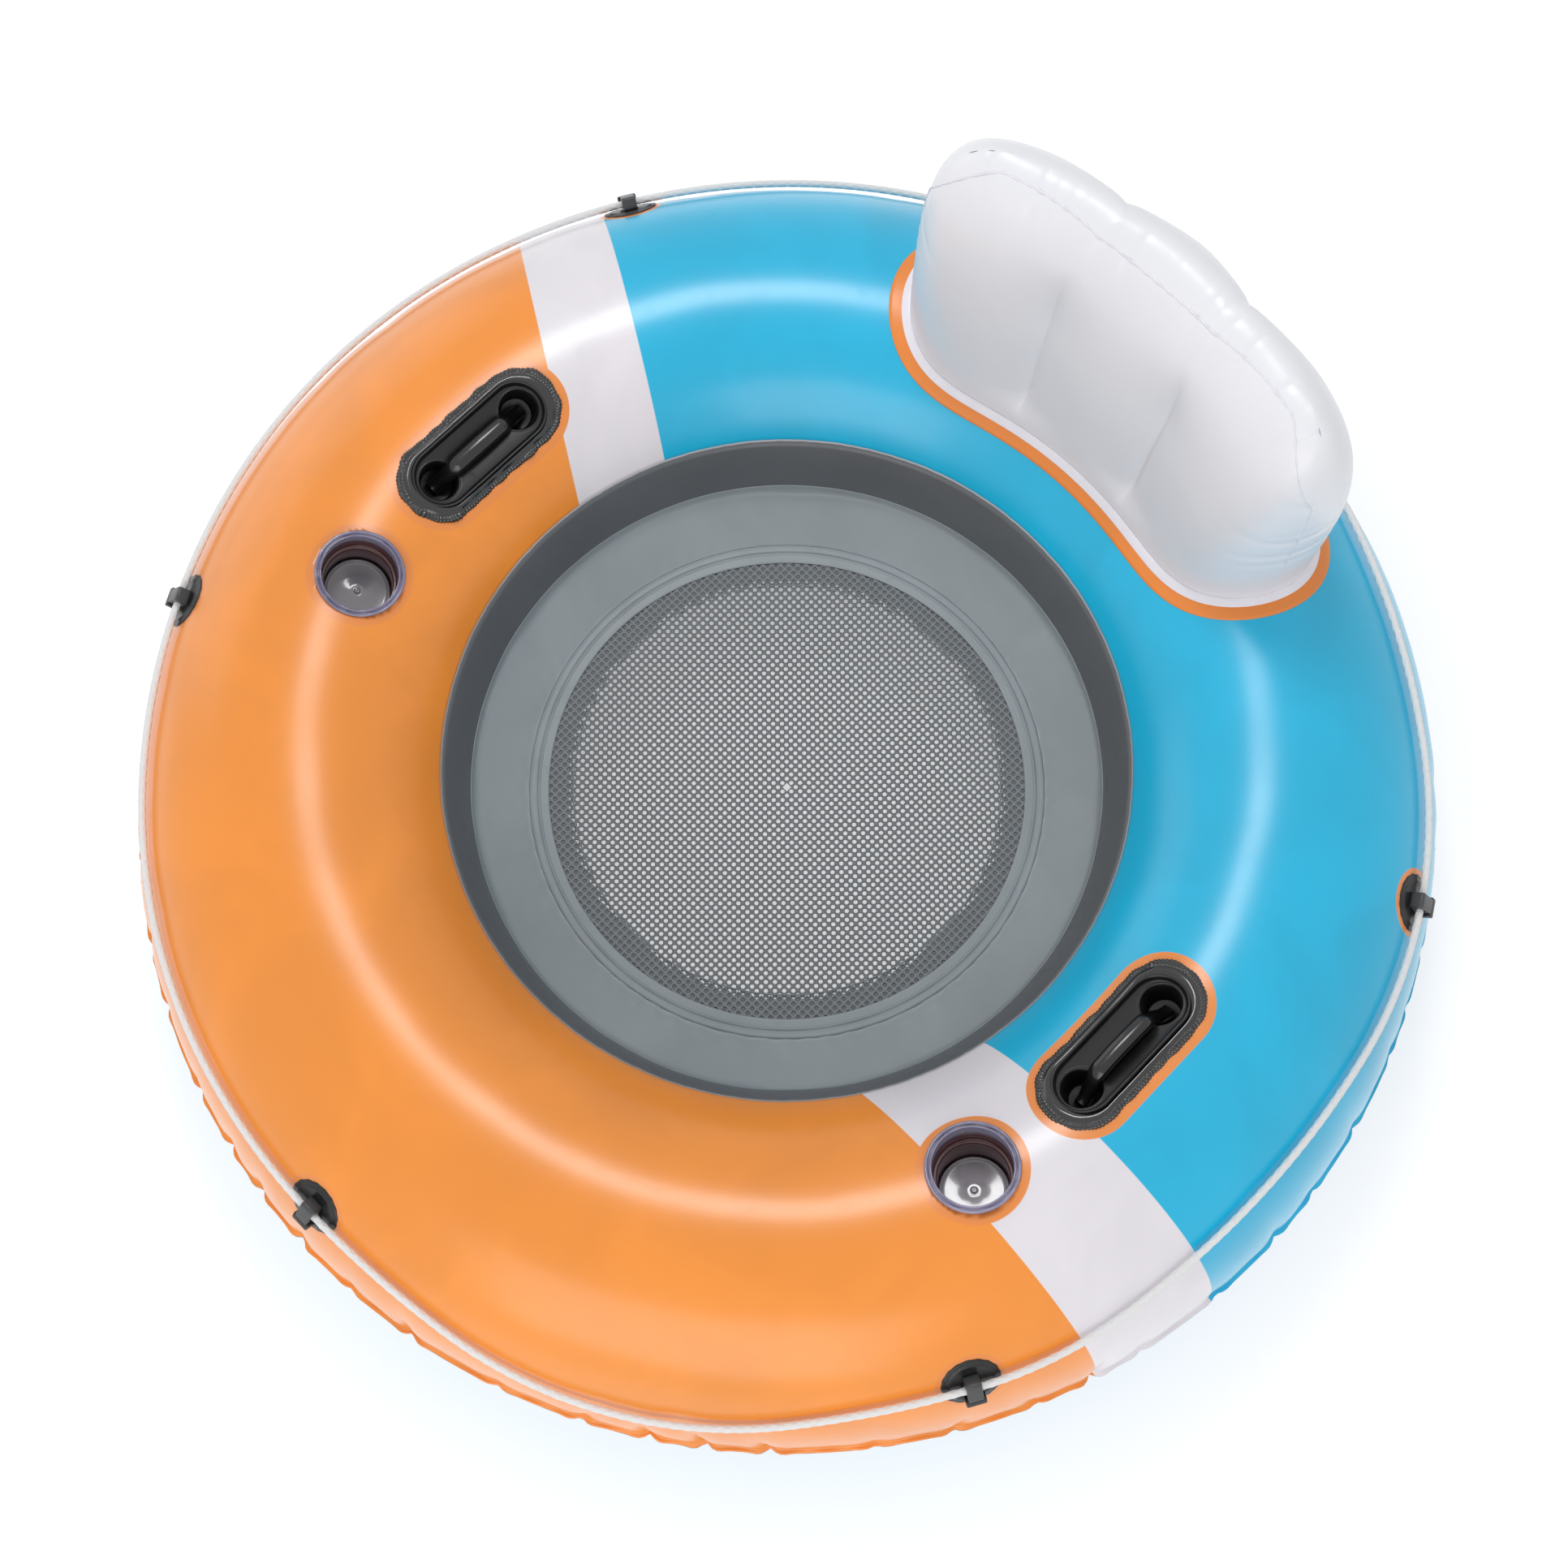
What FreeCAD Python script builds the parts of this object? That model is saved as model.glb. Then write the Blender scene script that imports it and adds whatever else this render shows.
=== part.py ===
import FreeCAD, Part
import math
import os
from FreeCAD import Vector

# River tube with a backrest, two cup holders, two handles, a mesh seat and a grab rope.
# Millimetres. +Z is up, the tube rests at z = 0, and +Y points to the backrest.

# Tube
overall_diameter = 1350.0
section_diameter = 344.0
band_angle = 12.0
top_seam_phi = 152.0
wall_sheet = 1.2
weld_flange_width = 5.0
weld_flange_sheet = 1.2
wall_bands = 3

# Floor and mesh seat
floor_drop = 20.0
floor_slope_run = 55.0
floor_flat_width = 23.0
floor_sheet = 1.2
floor_tab_height = 12.0
weld_ring_inset = 2.0
weld_ring_width = 12.0
weld_ring_height = 1.6
hem_width = 25.0
hem_sheet = 1.6
mesh_sheet = 1.2
mesh_pitch = 34.0
mesh_gap = 22.0
mesh_margin = 6.0

# Backrest
backrest_azimuth = 90.0
base_half_angle = 29.2
base_inner_phi = 128.0
base_rear_phi = 57.0
base_corner = 45.0
base_sheet = 1.2
pillow_half_angle = 27.6
pillow_lobes = 3
lobe_steps = 4
pillow_rise = 268.0
pillow_root_depth = 86.0
pillow_levels = [0.0, 0.36, 0.67, 0.84, 0.94, 1.0]
pillow_front_reach = 95.0
pillow_rear_reach = 85.0
pillow_seam_inset = 6.0
pillow_front_lean = 21.0
pillow_rear_lean = 28.0
pillow_crease_depth = 17.0
pillow_corner_depth = 22.0
pillow_front_crown = 68.0
pillow_rear_crown = 28.0
pillow_side_crown = 4.0
pillow_side_swell = 1.6
crown_power = 5
corner_power = 7
crease_fade = 0.75
corner_fade = 0.6
fade_power = 6
web_sheet = 1.2
web_front_margin = 56.0
web_rear_margin = 34.0
web_rise = 191.0

# Grab rope and its lugs
rope_diameter = 7.5
rope_sides = 8
rope_clearance = 0.6
rope_stand_off = 2.3
lug_count = 6
lug_first_azimuth = 30.0
lug_phi = 38.0
lug_patch_diameter = 58.0
lug_patch_sheet = 1.5
lug_width = 15.0
lug_length = 25.0
lug_wall = 3.0
lug_chamfer = 2.0
lug_block_length = 8.0
lug_block_extra = 2.5
span_phi = [45.5, 30.0, 36.0, 36.0, 27.0, 45.5]
route_steps = 4
route_bend_share = 0.45
sleeve_diameter = 11.0
sleeve_length = 34.0
sleeve_azimuth = 105.0

# Handles
handle_azimuths = {"right": 0.0, "left": 180.0}
handle_phi = 111.0
handle_patch_length = 200.0
handle_patch_width = 90.0
handle_patch_sheet = 1.5
handle_layer_angle = 33.0
tray_length = 166.0
tray_width = 62.0
tray_wall = 2.5
tray_lip = 5.0
tray_depth = 24.0
well_diameter = 44.0
well_depth = 28.0
tray_floor = 2.0
grip_width = 20.0
grip_height = 16.0
grip_chamfer = 5.0
grip_foot = 14.0

# Cup holders
cup_azimuths = {"right": 336.5, "left": 203.5}
cup_phi = 105.0
cup_throat_diameter = 76.0
cup_rim_diameter = 90.0
cup_collar_diameter = 86.0
cup_rim_height = 3.8
cup_rim_sheet = 2.5
cup_collar_depth = 14.0
cup_depth = 62.0
cup_step_depth = 26.0
cup_wall = 1.2
cup_base_diameter = 68.0
cup_base_sheet = 2.0
cup_nub_diameter = 6.0
cup_nub_height = 2.0

# Valves
tube_valve_phi = 18.0
backrest_valve_rise = 126.0
valve_flange_diameter = 44.0
valve_flange_recess = 2.5
valve_flange_height = 1.0
valve_collar_diameter = 25.0
valve_collar_bore = 20.4
valve_collar_length = 22.0
valve_running_clearance = 0.05
valve_seat_gap = 0.3
stem_rim_diameter = 27.0
stem_rim_height = 1.5
stem_length = 24.0
stem_bore = 12.0
stopper_cap_diameter = 18.0
stopper_cap_height = 1.8
stopper_shank = 9.0
strap_sheet = 1.2
strap_width = 5.0
strap_reach = 3.6
flap_diameter = 15.0
flap_sheet = 0.8
valve_pocket_depth = 42.0

section_radius = section_diameter / 2
ring_radius = overall_diameter / 2 - section_radius
equator_z = section_radius
crown_z = equator_z + section_radius
opening_radius = ring_radius - section_radius
floor_flat_radius = opening_radius - floor_slope_run
floor_inner_radius = floor_flat_radius - floor_flat_width
weld_ring_outer = floor_flat_radius - weld_ring_inset
weld_ring_inner = weld_ring_outer - weld_ring_width
hem_inner_radius = floor_inner_radius - hem_width
pillow_height = crown_z + pillow_rise
pillow_root_height = crown_z - pillow_root_depth
pillow_front_radius = ring_radius - pillow_front_reach
pillow_rear_radius = ring_radius + pillow_rear_reach
pillow_seam_radius = ring_radius - pillow_seam_inset
backrest_valve_height = crown_z + backrest_valve_rise
pocket_rise = section_radius / 4
up = Vector(0, 0, 1)
origin = Vector(0, 0, 0)


def polar(rho, azimuth, z):
    """Point at a radius and azimuth about the tube's axis."""
    turn = math.radians(azimuth)
    return Vector(rho * math.cos(turn), rho * math.sin(turn), z)


def skin_point(phi, offset=0.0):
    """(rho, z) on the banded section, phi from the outer equator upwards."""
    middle = (math.floor(phi / band_angle + 1e-9) + 0.5) * band_angle
    reach = (section_radius + offset) / math.cos(math.radians(phi - middle))
    turn = math.radians(phi)
    return ring_radius + reach * math.cos(turn), equator_z + reach * math.sin(turn)


def skin_profile(phi_start, phi_end, offset=0.0):
    """Corner points of the banded section between two angles."""
    first = math.floor(phi_start / band_angle + 1e-6) + 1
    last = math.ceil(phi_end / band_angle - 1e-6) - 1
    angles = [phi_start] + [k * band_angle for k in range(first, last + 1)] + [phi_end]
    return [skin_point(phi, offset) for phi in angles]


def revolve(points, angle=360.0, start=0.0):
    """Solid of revolution about Z from (rho, z) points."""
    corners = [polar(rho, start, z) for rho, z in points]
    face = Part.Face(Part.makePolygon(corners + corners[:1]))
    return face.revolve(origin, up, angle)


def skin_layer(phi_start, phi_end, low, high):
    """Closed layer that follows the skin between two offsets."""
    inner = skin_profile(phi_start, phi_end, low)
    outer = skin_profile(phi_start, phi_end, high)
    return revolve(inner + outer[::-1])


def skin_frame(azimuth, phi, offset=0.0):
    """Placement on the skin: X along the tube, Y round the section, Z outwards."""
    turn = math.radians(azimuth)
    tilt = math.radians(phi)
    radial = Vector(math.cos(turn), math.sin(turn), 0)
    along = Vector(-math.sin(turn), math.cos(turn), 0)
    normal = radial * math.cos(tilt) + up * math.sin(tilt)
    across = normal.cross(along)
    spot = radial * ring_radius + up * equator_z + normal * (section_radius + offset)
    return frame_at(spot, along, across, normal)


def frame_at(spot, along, across, normal):
    """Placement from an origin and three unit directions."""
    matrix = FreeCAD.Matrix(
        along.x, across.x, normal.x, spot.x,
        along.y, across.y, normal.y, spot.y,
        along.z, across.z, normal.z, spot.z,
        0, 0, 0, 1)
    return FreeCAD.Placement(matrix)


def placed(shape, frame):
    """The shape moved from its own frame into place."""
    moved = shape.copy()
    moved.Placement = frame
    return moved


def turned(points):
    """Solid of revolution about the local Z from (radius, height) points."""
    corners = [Vector(radius, 0, height) for radius, height in points]
    face = Part.Face(Part.makePolygon(corners + corners[:1]))
    return face.revolve(origin, up, 360.0)


def cylinder(radius, low, high, x=0.0, y=0.0):
    """Upright cylinder between two heights."""
    return Part.makeCylinder(radius, high - low, Vector(x, y, low), up)


def stadium(length, width, low, high):
    """Slot-shaped block along X between two heights."""
    end = width / 2
    reach = length / 2 - end
    corners = [Vector(-reach, -end, low), Vector(reach, -end, low)]
    corners += [Vector(reach, end, low), Vector(-reach, end, low)]
    edges = [
        Part.LineSegment(corners[0], corners[1]).toShape(),
        Part.Arc(corners[1], Vector(reach + end, 0, low), corners[2]).toShape(),
        Part.LineSegment(corners[2], corners[3]).toShape(),
        Part.Arc(corners[3], Vector(-reach - end, 0, low), corners[0]).toShape()]
    return Part.Face(Part.Wire(edges)).extrude(up * (high - low))


def wall_profile(offset=0.0):
    """Corner points of the wall round the seat, from the top seam to the bottom one."""
    band = (360.0 - 2 * top_seam_phi) / wall_bands
    reach = (section_radius + offset) / math.cos(math.radians(band / 2))
    points = [skin_point(top_seam_phi, offset)]
    for k in range(1, wall_bands):
        turn = math.radians(top_seam_phi + band * k)
        points.append((ring_radius + reach * math.cos(turn), equator_z + reach * math.sin(turn)))
    return points + [skin_point(360.0 - top_seam_phi, offset)]


def upper_profile():
    """Profile of the upper skin, from its outer weld flange to the top seam."""
    flange = overall_diameter / 2 + weld_flange_width
    skin = skin_profile(0.0, top_seam_phi)
    (rho, z), (next_rho, next_z) = skin[:2]
    share = weld_flange_sheet / (next_z - z)
    root = (rho + (next_rho - rho) * share, z + weld_flange_sheet)
    outside = [(flange, equator_z), (flange, equator_z + weld_flange_sheet), root] + skin[1:]
    return outside + skin_profile(0.0, top_seam_phi, -wall_sheet)[::-1]


def make_tube():
    """Upper and lower skins of the air chamber and the wall sheet round the seat."""
    upper = upper_profile()
    lower = [(rho, 2 * equator_z - z) for rho, z in upper]
    wall = revolve(wall_profile(-wall_sheet) + wall_profile()[::-1])
    return revolve(upper), revolve(lower), wall


def make_floor():
    """Floor sheet, its double weld ring, the hem and the holed mesh seat."""
    rim = opening_radius
    flat_z = equator_z - floor_drop
    sheet = revolve([
        (rim, equator_z), (rim, equator_z + floor_tab_height),
        (rim - floor_sheet, equator_z + floor_tab_height),
        (rim - floor_sheet, equator_z + floor_sheet), (floor_flat_radius, flat_z + floor_sheet),
        (floor_inner_radius, flat_z + floor_sheet), (floor_inner_radius, flat_z),
        (floor_flat_radius, flat_z)])
    top = flat_z + floor_sheet
    ring = revolve([
        (weld_ring_inner, top), (weld_ring_outer, top), (weld_ring_outer, top + weld_ring_height),
        (weld_ring_inner, top + weld_ring_height)])
    hem_low = flat_z - hem_sheet
    hem = revolve([
        (hem_inner_radius, hem_low), (weld_ring_outer, hem_low),
        (weld_ring_outer, flat_z), (hem_inner_radius, flat_z)])
    mesh = cylinder(weld_ring_outer, hem_low - mesh_sheet, hem_low)
    reach = int(hem_inner_radius // mesh_pitch)
    gaps = []
    for column in range(-reach, reach + 1):
        for line in range(-reach, reach + 1):
            x = column * mesh_pitch
            y = line * mesh_pitch
            if math.hypot(x, y) + mesh_gap / 2 + mesh_margin < hem_inner_radius:
                gaps.append(mesh_hole(x, y, hem_low - mesh_sheet, hem_low))
    return sheet, ring, hem, mesh.cut(Part.makeCompound(gaps)), len(gaps)


def mesh_hole(x, y, low, high):
    """Diamond gap in the mesh."""
    half = mesh_gap / 2
    corners = [Vector(x + half, y, low), Vector(x, y + half, low)]
    corners += [Vector(x - half, y, low), Vector(x, y - half, low)]
    face = Part.Face(Part.makePolygon(corners + corners[:1]))
    return face.extrude(up * (high - low))


def sector_wire(rho_in, rho_out, half_angle, z):
    """Ring sector about the backrest's azimuth, as four edges."""
    low = backrest_azimuth - half_angle
    high = backrest_azimuth + half_angle
    mid = backrest_azimuth
    return Part.Wire([
        Part.Arc(polar(rho_out, low, z), polar(rho_out, mid, z), polar(rho_out, high, z)).toShape(),
        Part.LineSegment(polar(rho_out, high, z), polar(rho_in, high, z)).toShape(),
        Part.Arc(polar(rho_in, high, z), polar(rho_in, mid, z), polar(rho_in, low, z)).toShape(),
        Part.LineSegment(polar(rho_in, low, z), polar(rho_out, low, z)).toShape()])


def upright_edges(shape, height):
    """Edges of a prism that run its whole height."""
    return [e for e in shape.Edges if abs(e.BoundBox.ZLength - height) < 1e-6]


def make_backrest_base():
    """Weld flange of the backrest, lying on the skin."""
    rho_in = skin_point(base_inner_phi)[0]
    rho_out = skin_point(base_rear_phi)[0]
    prism = Part.Face(sector_wire(rho_in, rho_out, base_half_angle, equator_z)).extrude(
        up * section_diameter)
    prism = prism.makeFillet(base_corner, upright_edges(prism, section_diameter))
    return skin_layer(
        base_rear_phi - band_angle, base_inner_phi + band_angle, 0.0, base_sheet).common(prism)


def pillow_crown(level):
    """How far the pillow has closed towards its top, from 0 to 1."""
    return 1.0 - math.sqrt(1.0 - level ** crown_power)


def pillow_outline(level):
    """Outline of the pillow at one level, from 0 at its root to 1 at its top."""
    z = pillow_root_height + (pillow_height - pillow_root_height) * level
    crown = pillow_crown(level)
    crease = pillow_crease_depth * (1.0 - crease_fade * level ** fade_power)
    corner = pillow_corner_depth * (1.0 - corner_fade * level ** fade_power)
    front = pillow_front_radius + pillow_front_lean * level + pillow_front_crown * crown
    rear = pillow_rear_radius - pillow_rear_lean * level - pillow_rear_crown * crown
    half = pillow_half_angle - pillow_side_crown * crown
    steps = pillow_lobes * lobe_steps
    front_line = []
    rear_line = []
    for k in range(steps + 1):
        share = 2.0 * k / steps - 1.0
        inside = 2.0 * (k % lobe_steps) / lobe_steps - 1.0
        drop = crease * inside ** 2 + corner * abs(share) ** corner_power
        azimuth = backrest_azimuth + half * share
        front_line.append(polar(front + drop, azimuth, z))
        rear_line.append(polar(rear - drop, azimuth, z))
    middle = (front + rear) / 2
    reach = half + pillow_side_swell
    corners = rear_line + [polar(middle, backrest_azimuth + reach, z)]
    corners += front_line[::-1] + [polar(middle, backrest_azimuth - reach, z)]
    return Part.makePolygon(corners + corners[:1])


def make_pillow(tube_block):
    """Front and rear pillow halves and the two inner webs."""
    wires = [pillow_outline(level) for level in pillow_levels]
    pillow = Part.makeLoft(wires, True, True).cut(tube_block)
    pillow = max(pillow.Solids, key=lambda solid: solid.Volume)
    lobe_angle = 2 * pillow_half_angle / pillow_lobes
    web_foot = crown_z + base_sheet
    web_front = pillow_front_radius + web_front_margin
    web_rear = pillow_rear_radius - web_rear_margin
    webs = []
    for side in (-1, 1):
        web = Part.makeBox(
            web_rear - web_front, web_sheet, crown_z + web_rise - web_foot,
            Vector(web_front, -web_sheet / 2, web_foot))
        web.rotate(origin, up, backrest_azimuth + side * lobe_angle / 2)
        webs.append(web)
    hollowed = pillow.cut(Part.makeCompound(webs))
    core = cylinder(pillow_seam_radius, 0.0, pillow_height + section_radius)
    front = hollowed.common(core)
    rear = hollowed.cut(core)
    return front, rear, webs


def rope_route():
    """Route points of the grab rope's centre line, the same number in each span."""
    offset = lug_patch_sheet + rope_stand_off + rope_diameter / 2
    spread = 360.0 / lug_count / route_steps
    points = []
    for span in range(lug_count):
        start = lug_first_azimuth + 360.0 / lug_count * span
        for place in range(route_steps):
            phi = lug_phi if place in (0, route_steps - 1) else span_phi[span]
            tilt = math.radians(phi)
            rho = ring_radius + (section_radius + offset) * math.cos(tilt)
            z = equator_z + (section_radius + offset) * math.sin(tilt)
            stand_out = math.cos(math.radians(spread / 2))
            points.append(polar(rho / stand_out, start + spread * (place + 0.5), z))
    return points


def rope_path(points):
    """Straight runs joined by tangent arcs; returns the wire and the arc radii."""
    edges = []
    radii = []
    cursor = points[0]
    for before, corner, after in zip(points, points[1:], points[2:]):
        inward = before - corner
        outward = after - corner
        shorter = min(inward.Length, outward.Length)
        reach = route_bend_share * shorter
        half_turn = (math.pi - inward.getAngle(outward)) / 2
        radius = reach / math.tan(half_turn)
        inward.normalize()
        outward.normalize()
        begin = corner + inward * reach
        finish = corner + outward * reach
        bisector = inward + outward
        bisector.normalize()
        middle = corner + bisector * (radius / math.cos(half_turn) - radius)
        edges.append(Part.LineSegment(cursor, begin).toShape())
        edges.append(Part.Arc(begin, middle, finish).toShape())
        radii.append(radius)
        cursor = finish
    edges.append(Part.LineSegment(cursor, points[-1]).toShape())
    return Part.Wire(edges), radii


def make_rope():
    """Grab rope round the tube, with its ends meeting in the sleeve."""
    ring = rope_route()
    first = int((sleeve_azimuth - lug_first_azimuth) * lug_count * route_steps / 360.0 - 0.5)
    seam = ring[first].add((ring[first + 1] - ring[first]) * 0.5)
    route = [seam] + ring[first + 1:] + ring[:first + 1] + [seam]
    path, radii = rope_path(route)
    heading = path.Edges[0].tangentAt(path.Edges[0].FirstParameter)
    side = heading.cross(up)
    side.normalize()
    lift = side.cross(heading)
    corners = []
    for k in range(rope_sides):
        turn = 2 * math.pi * k / rope_sides
        spoke = side * math.cos(turn) + lift * math.sin(turn)
        corners.append(seam + spoke * (rope_diameter / 2))
    outline = Part.makePolygon(corners + corners[:1])
    rope = path.makePipeShell([outline], True, False)
    expected = Part.Face(outline).Area * path.Length
    print("rope length %.1f, radii %.0f to %.0f, volume ratio %.4f" % (
        path.Length, min(radii), max(radii), rope.Volume / expected))
    half = sleeve_length / 2
    sleeve = Part.makeCylinder(
        sleeve_diameter / 2, sleeve_length, seam - heading * half, heading)
    bore = Part.makeCylinder(
        rope_diameter / 2, sleeve_length, seam - heading * half, heading)
    return rope, sleeve.cut(bore)


def make_lug(azimuth):
    """Welded oval patch with a moulded strap loop over the rope."""
    frame = skin_frame(azimuth, lug_phi)
    disc = placed(cylinder(lug_patch_diameter / 2, -pocket_rise, pocket_rise), frame)
    layer = skin_layer(lug_phi - 2 * band_angle, lug_phi + 2 * band_angle, 0.0, lug_patch_sheet)
    patch = layer.common(disc)
    centre = lug_patch_sheet + rope_stand_off + rope_diameter / 2
    eye = rope_diameter / 2 + rope_clearance
    height = centre + eye + lug_wall
    half = lug_width / 2
    strap = Part.makeBox(lug_width, lug_length, height, Vector(-half, -lug_length / 2, 0))
    rounded = [e for e in strap.Edges if abs(e.BoundBox.ZMin - height) < 1e-6]
    strap = strap.makeChamfer(lug_chamfer, rounded)
    block = Part.makeBox(
        lug_width + 2 * lug_block_extra, lug_block_length, height - lug_wall,
        Vector(-half - lug_block_extra, -lug_length / 2 - lug_block_length / 2, lug_wall))
    hole = Part.makeCylinder(
        eye, lug_width + 4 * lug_block_extra,
        Vector(-half - 2 * lug_block_extra, 0, centre), Vector(1, 0, 0))
    loop = placed(strap.fuse(block).cut(hole), frame)
    return loop.cut(skin_block(0.0)).fuse(patch).removeSplitter()


def skin_block(offset):
    """Whole tube body grown by an offset, used as a cutter."""
    return revolve(skin_profile(0.0, 360.0, offset)[:-1])


def handle_pocket():
    """Local recess that takes the tray of a handle."""
    return stadium(tray_length, tray_width, -well_depth - tray_floor, pocket_rise)


def make_handle(azimuth):
    """Weld patch, recessed tray with two end wells, and grip bar of one handle."""
    frame = skin_frame(azimuth, handle_phi)
    layer = skin_layer(
        handle_phi - handle_layer_angle, handle_phi + handle_layer_angle, 0.0, handle_patch_sheet)
    outline = placed(stadium(
        handle_patch_length, handle_patch_width, -pocket_rise, pocket_rise), frame)
    patch = layer.common(outline).cut(placed(handle_pocket(), frame))
    tray = stadium(tray_length, tray_width, -well_depth - tray_floor, tray_lip)
    tray = tray.cut(stadium(
        tray_length - 2 * tray_wall, tray_width - 2 * tray_wall, -tray_depth, tray_lip))
    reach = tray_length / 2 - 2 * tray_wall - well_diameter / 2
    for side in (-1, 1):
        tray = tray.cut(cylinder(well_diameter / 2, -well_depth, -tray_depth, side * reach))
    end = reach + grip_foot / 2
    inner = reach - grip_foot / 2
    top = tray_lip
    under = top - grip_height
    arch = [
        (-end, -well_depth), (-end, top - grip_height / 2), (-end + grip_height / 2, top),
        (end - grip_height / 2, top), (end, top - grip_height / 2), (end, -well_depth),
        (inner, -well_depth), (inner, under), (-inner, under), (-inner, -well_depth)]
    corners = [Vector(x, -grip_width / 2, z) for x, z in arch]
    grip = Part.Face(Part.makePolygon(corners + corners[:1])).extrude(Vector(0, grip_width, 0))
    ridges = [e for e in grip.Edges if abs(e.BoundBox.ZMin - top) < 1e-6
              and e.BoundBox.XLength > grip_width]
    grip = grip.makeChamfer(grip_chamfer, ridges)
    return patch, placed(tray, frame), placed(grip, frame)


def cup_pocket():
    """Local recess that takes a cup holder."""
    upper = cup_throat_diameter / 2 + cup_wall
    lower = cup_base_diameter / 2 + cup_wall
    ledge = -cup_step_depth - cup_wall
    floor = -cup_depth - cup_base_sheet
    return turned([
        (0, pocket_rise), (cup_collar_diameter / 2, pocket_rise),
        (cup_collar_diameter / 2, -cup_collar_depth), (upper, -cup_collar_depth),
        (upper, ledge), (lower, ledge), (lower, floor), (0, floor)])


def make_cup(azimuth):
    """Collar with its rim, clear wall with a ledge, and base disc with a nub."""
    frame = skin_frame(azimuth, cup_phi)
    throat = cup_throat_diameter / 2
    outer = cup_collar_diameter / 2
    edge = cup_rim_diameter / 2
    under = cup_rim_height - cup_rim_sheet
    collar = turned([
        (throat, -cup_collar_depth), (outer, -cup_collar_depth), (outer, under),
        (edge, under), (edge, cup_rim_height), (throat, cup_rim_height)])
    low = cup_base_diameter / 2
    floor = -cup_depth - cup_base_sheet
    wall = turned([
        (throat, -cup_collar_depth), (throat + cup_wall, -cup_collar_depth),
        (throat + cup_wall, -cup_step_depth - cup_wall), (low + cup_wall, -cup_step_depth - cup_wall),
        (low + cup_wall, floor), (low, floor), (low, -cup_step_depth), (throat, -cup_step_depth)])
    nub = cup_nub_diameter / 2
    base = turned([
        (0, floor), (low, floor), (low, -cup_depth),
        (nub, -cup_depth), (nub, -cup_depth + cup_nub_height), (0, -cup_depth + cup_nub_height)])
    return placed(collar, frame), placed(wall, frame), placed(base, frame)


def valve_pocket():
    """Local recess that takes a valve."""
    return cylinder(valve_flange_diameter / 2, -valve_flange_recess, pocket_rise).fuse(
        cylinder(valve_collar_diameter / 2, -valve_pocket_depth, 0.0))


def make_valve(frame):
    """Flange, stem, stopper, tether strap and check flap of one valve."""
    collar = valve_collar_diameter / 2
    bore = valve_collar_bore / 2
    flange = turned([
        (bore, valve_flange_height), (bore, -valve_collar_length), (collar, -valve_collar_length),
        (collar, -valve_flange_recess), (valve_flange_diameter / 2, -valve_flange_recess),
        (valve_flange_diameter / 2, valve_flange_height)])
    rim_low = valve_flange_height + valve_seat_gap
    rim_high = rim_low + stem_rim_height
    outside = bore - valve_running_clearance
    inside = stem_bore / 2
    rim = stem_rim_diameter / 2
    stem = turned([
        (inside, -stem_length), (outside, -stem_length), (outside, rim_low),
        (rim, rim_low), (rim, rim_high), (inside, rim_high)])
    cap_low = rim_high + valve_seat_gap
    cap_high = cap_low + stopper_cap_height
    shank = inside - valve_running_clearance
    cap = stopper_cap_diameter / 2
    stopper = turned([
        (0, rim_high - stopper_shank), (shank, rim_high - stopper_shank), (shank, cap_low),
        (cap, cap_low), (cap, cap_high), (0, cap_high)])
    tether = rim + valve_seat_gap
    half = strap_width / 2
    strap = Part.makeBox(
        tether + strap_reach - cap, strap_width, strap_sheet, Vector(cap, -half, cap_low))
    strap = strap.fuse(Part.makeBox(
        strap_sheet, strap_width, cap_low - rim_low + strap_sheet / 2,
        Vector(tether + strap_reach - strap_sheet, -half, rim_low)))
    strap = strap.fuse(Part.makeBox(
        strap_reach, strap_width, strap_sheet, Vector(tether, -half, rim_low)))
    strap = strap.cut(cylinder(cap, 0.0, cap_high + cap)).removeSplitter()
    flap_high = -stem_length - valve_seat_gap
    flap = cylinder(flap_diameter / 2, flap_high - flap_sheet, flap_high)
    parts = {"flange": flange, "stem": stem, "stopper": stopper, "strap": strap, "flap": flap}
    return {name: placed(shape, frame) for name, shape in parts.items()}


def backrest_valve_frame():
    """Placement of the backrest's valve on the middle lobe of its rear."""
    level = (backrest_valve_height - pillow_root_height) / (pillow_height - pillow_root_height)
    rho = pillow_rear_radius - pillow_rear_lean * level - pillow_rear_crown * pillow_crown(level)
    tilt = math.atan2(pillow_rear_lean, pillow_height - pillow_root_height)
    radial = polar(1.0, backrest_azimuth, 0.0)
    along = up.cross(radial)
    normal = radial * math.cos(tilt) + up * math.sin(tilt)
    spot = polar(rho, backrest_azimuth, backrest_valve_height) - normal * valve_flange_height
    return frame_at(spot, along, normal.cross(along), normal)


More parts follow.
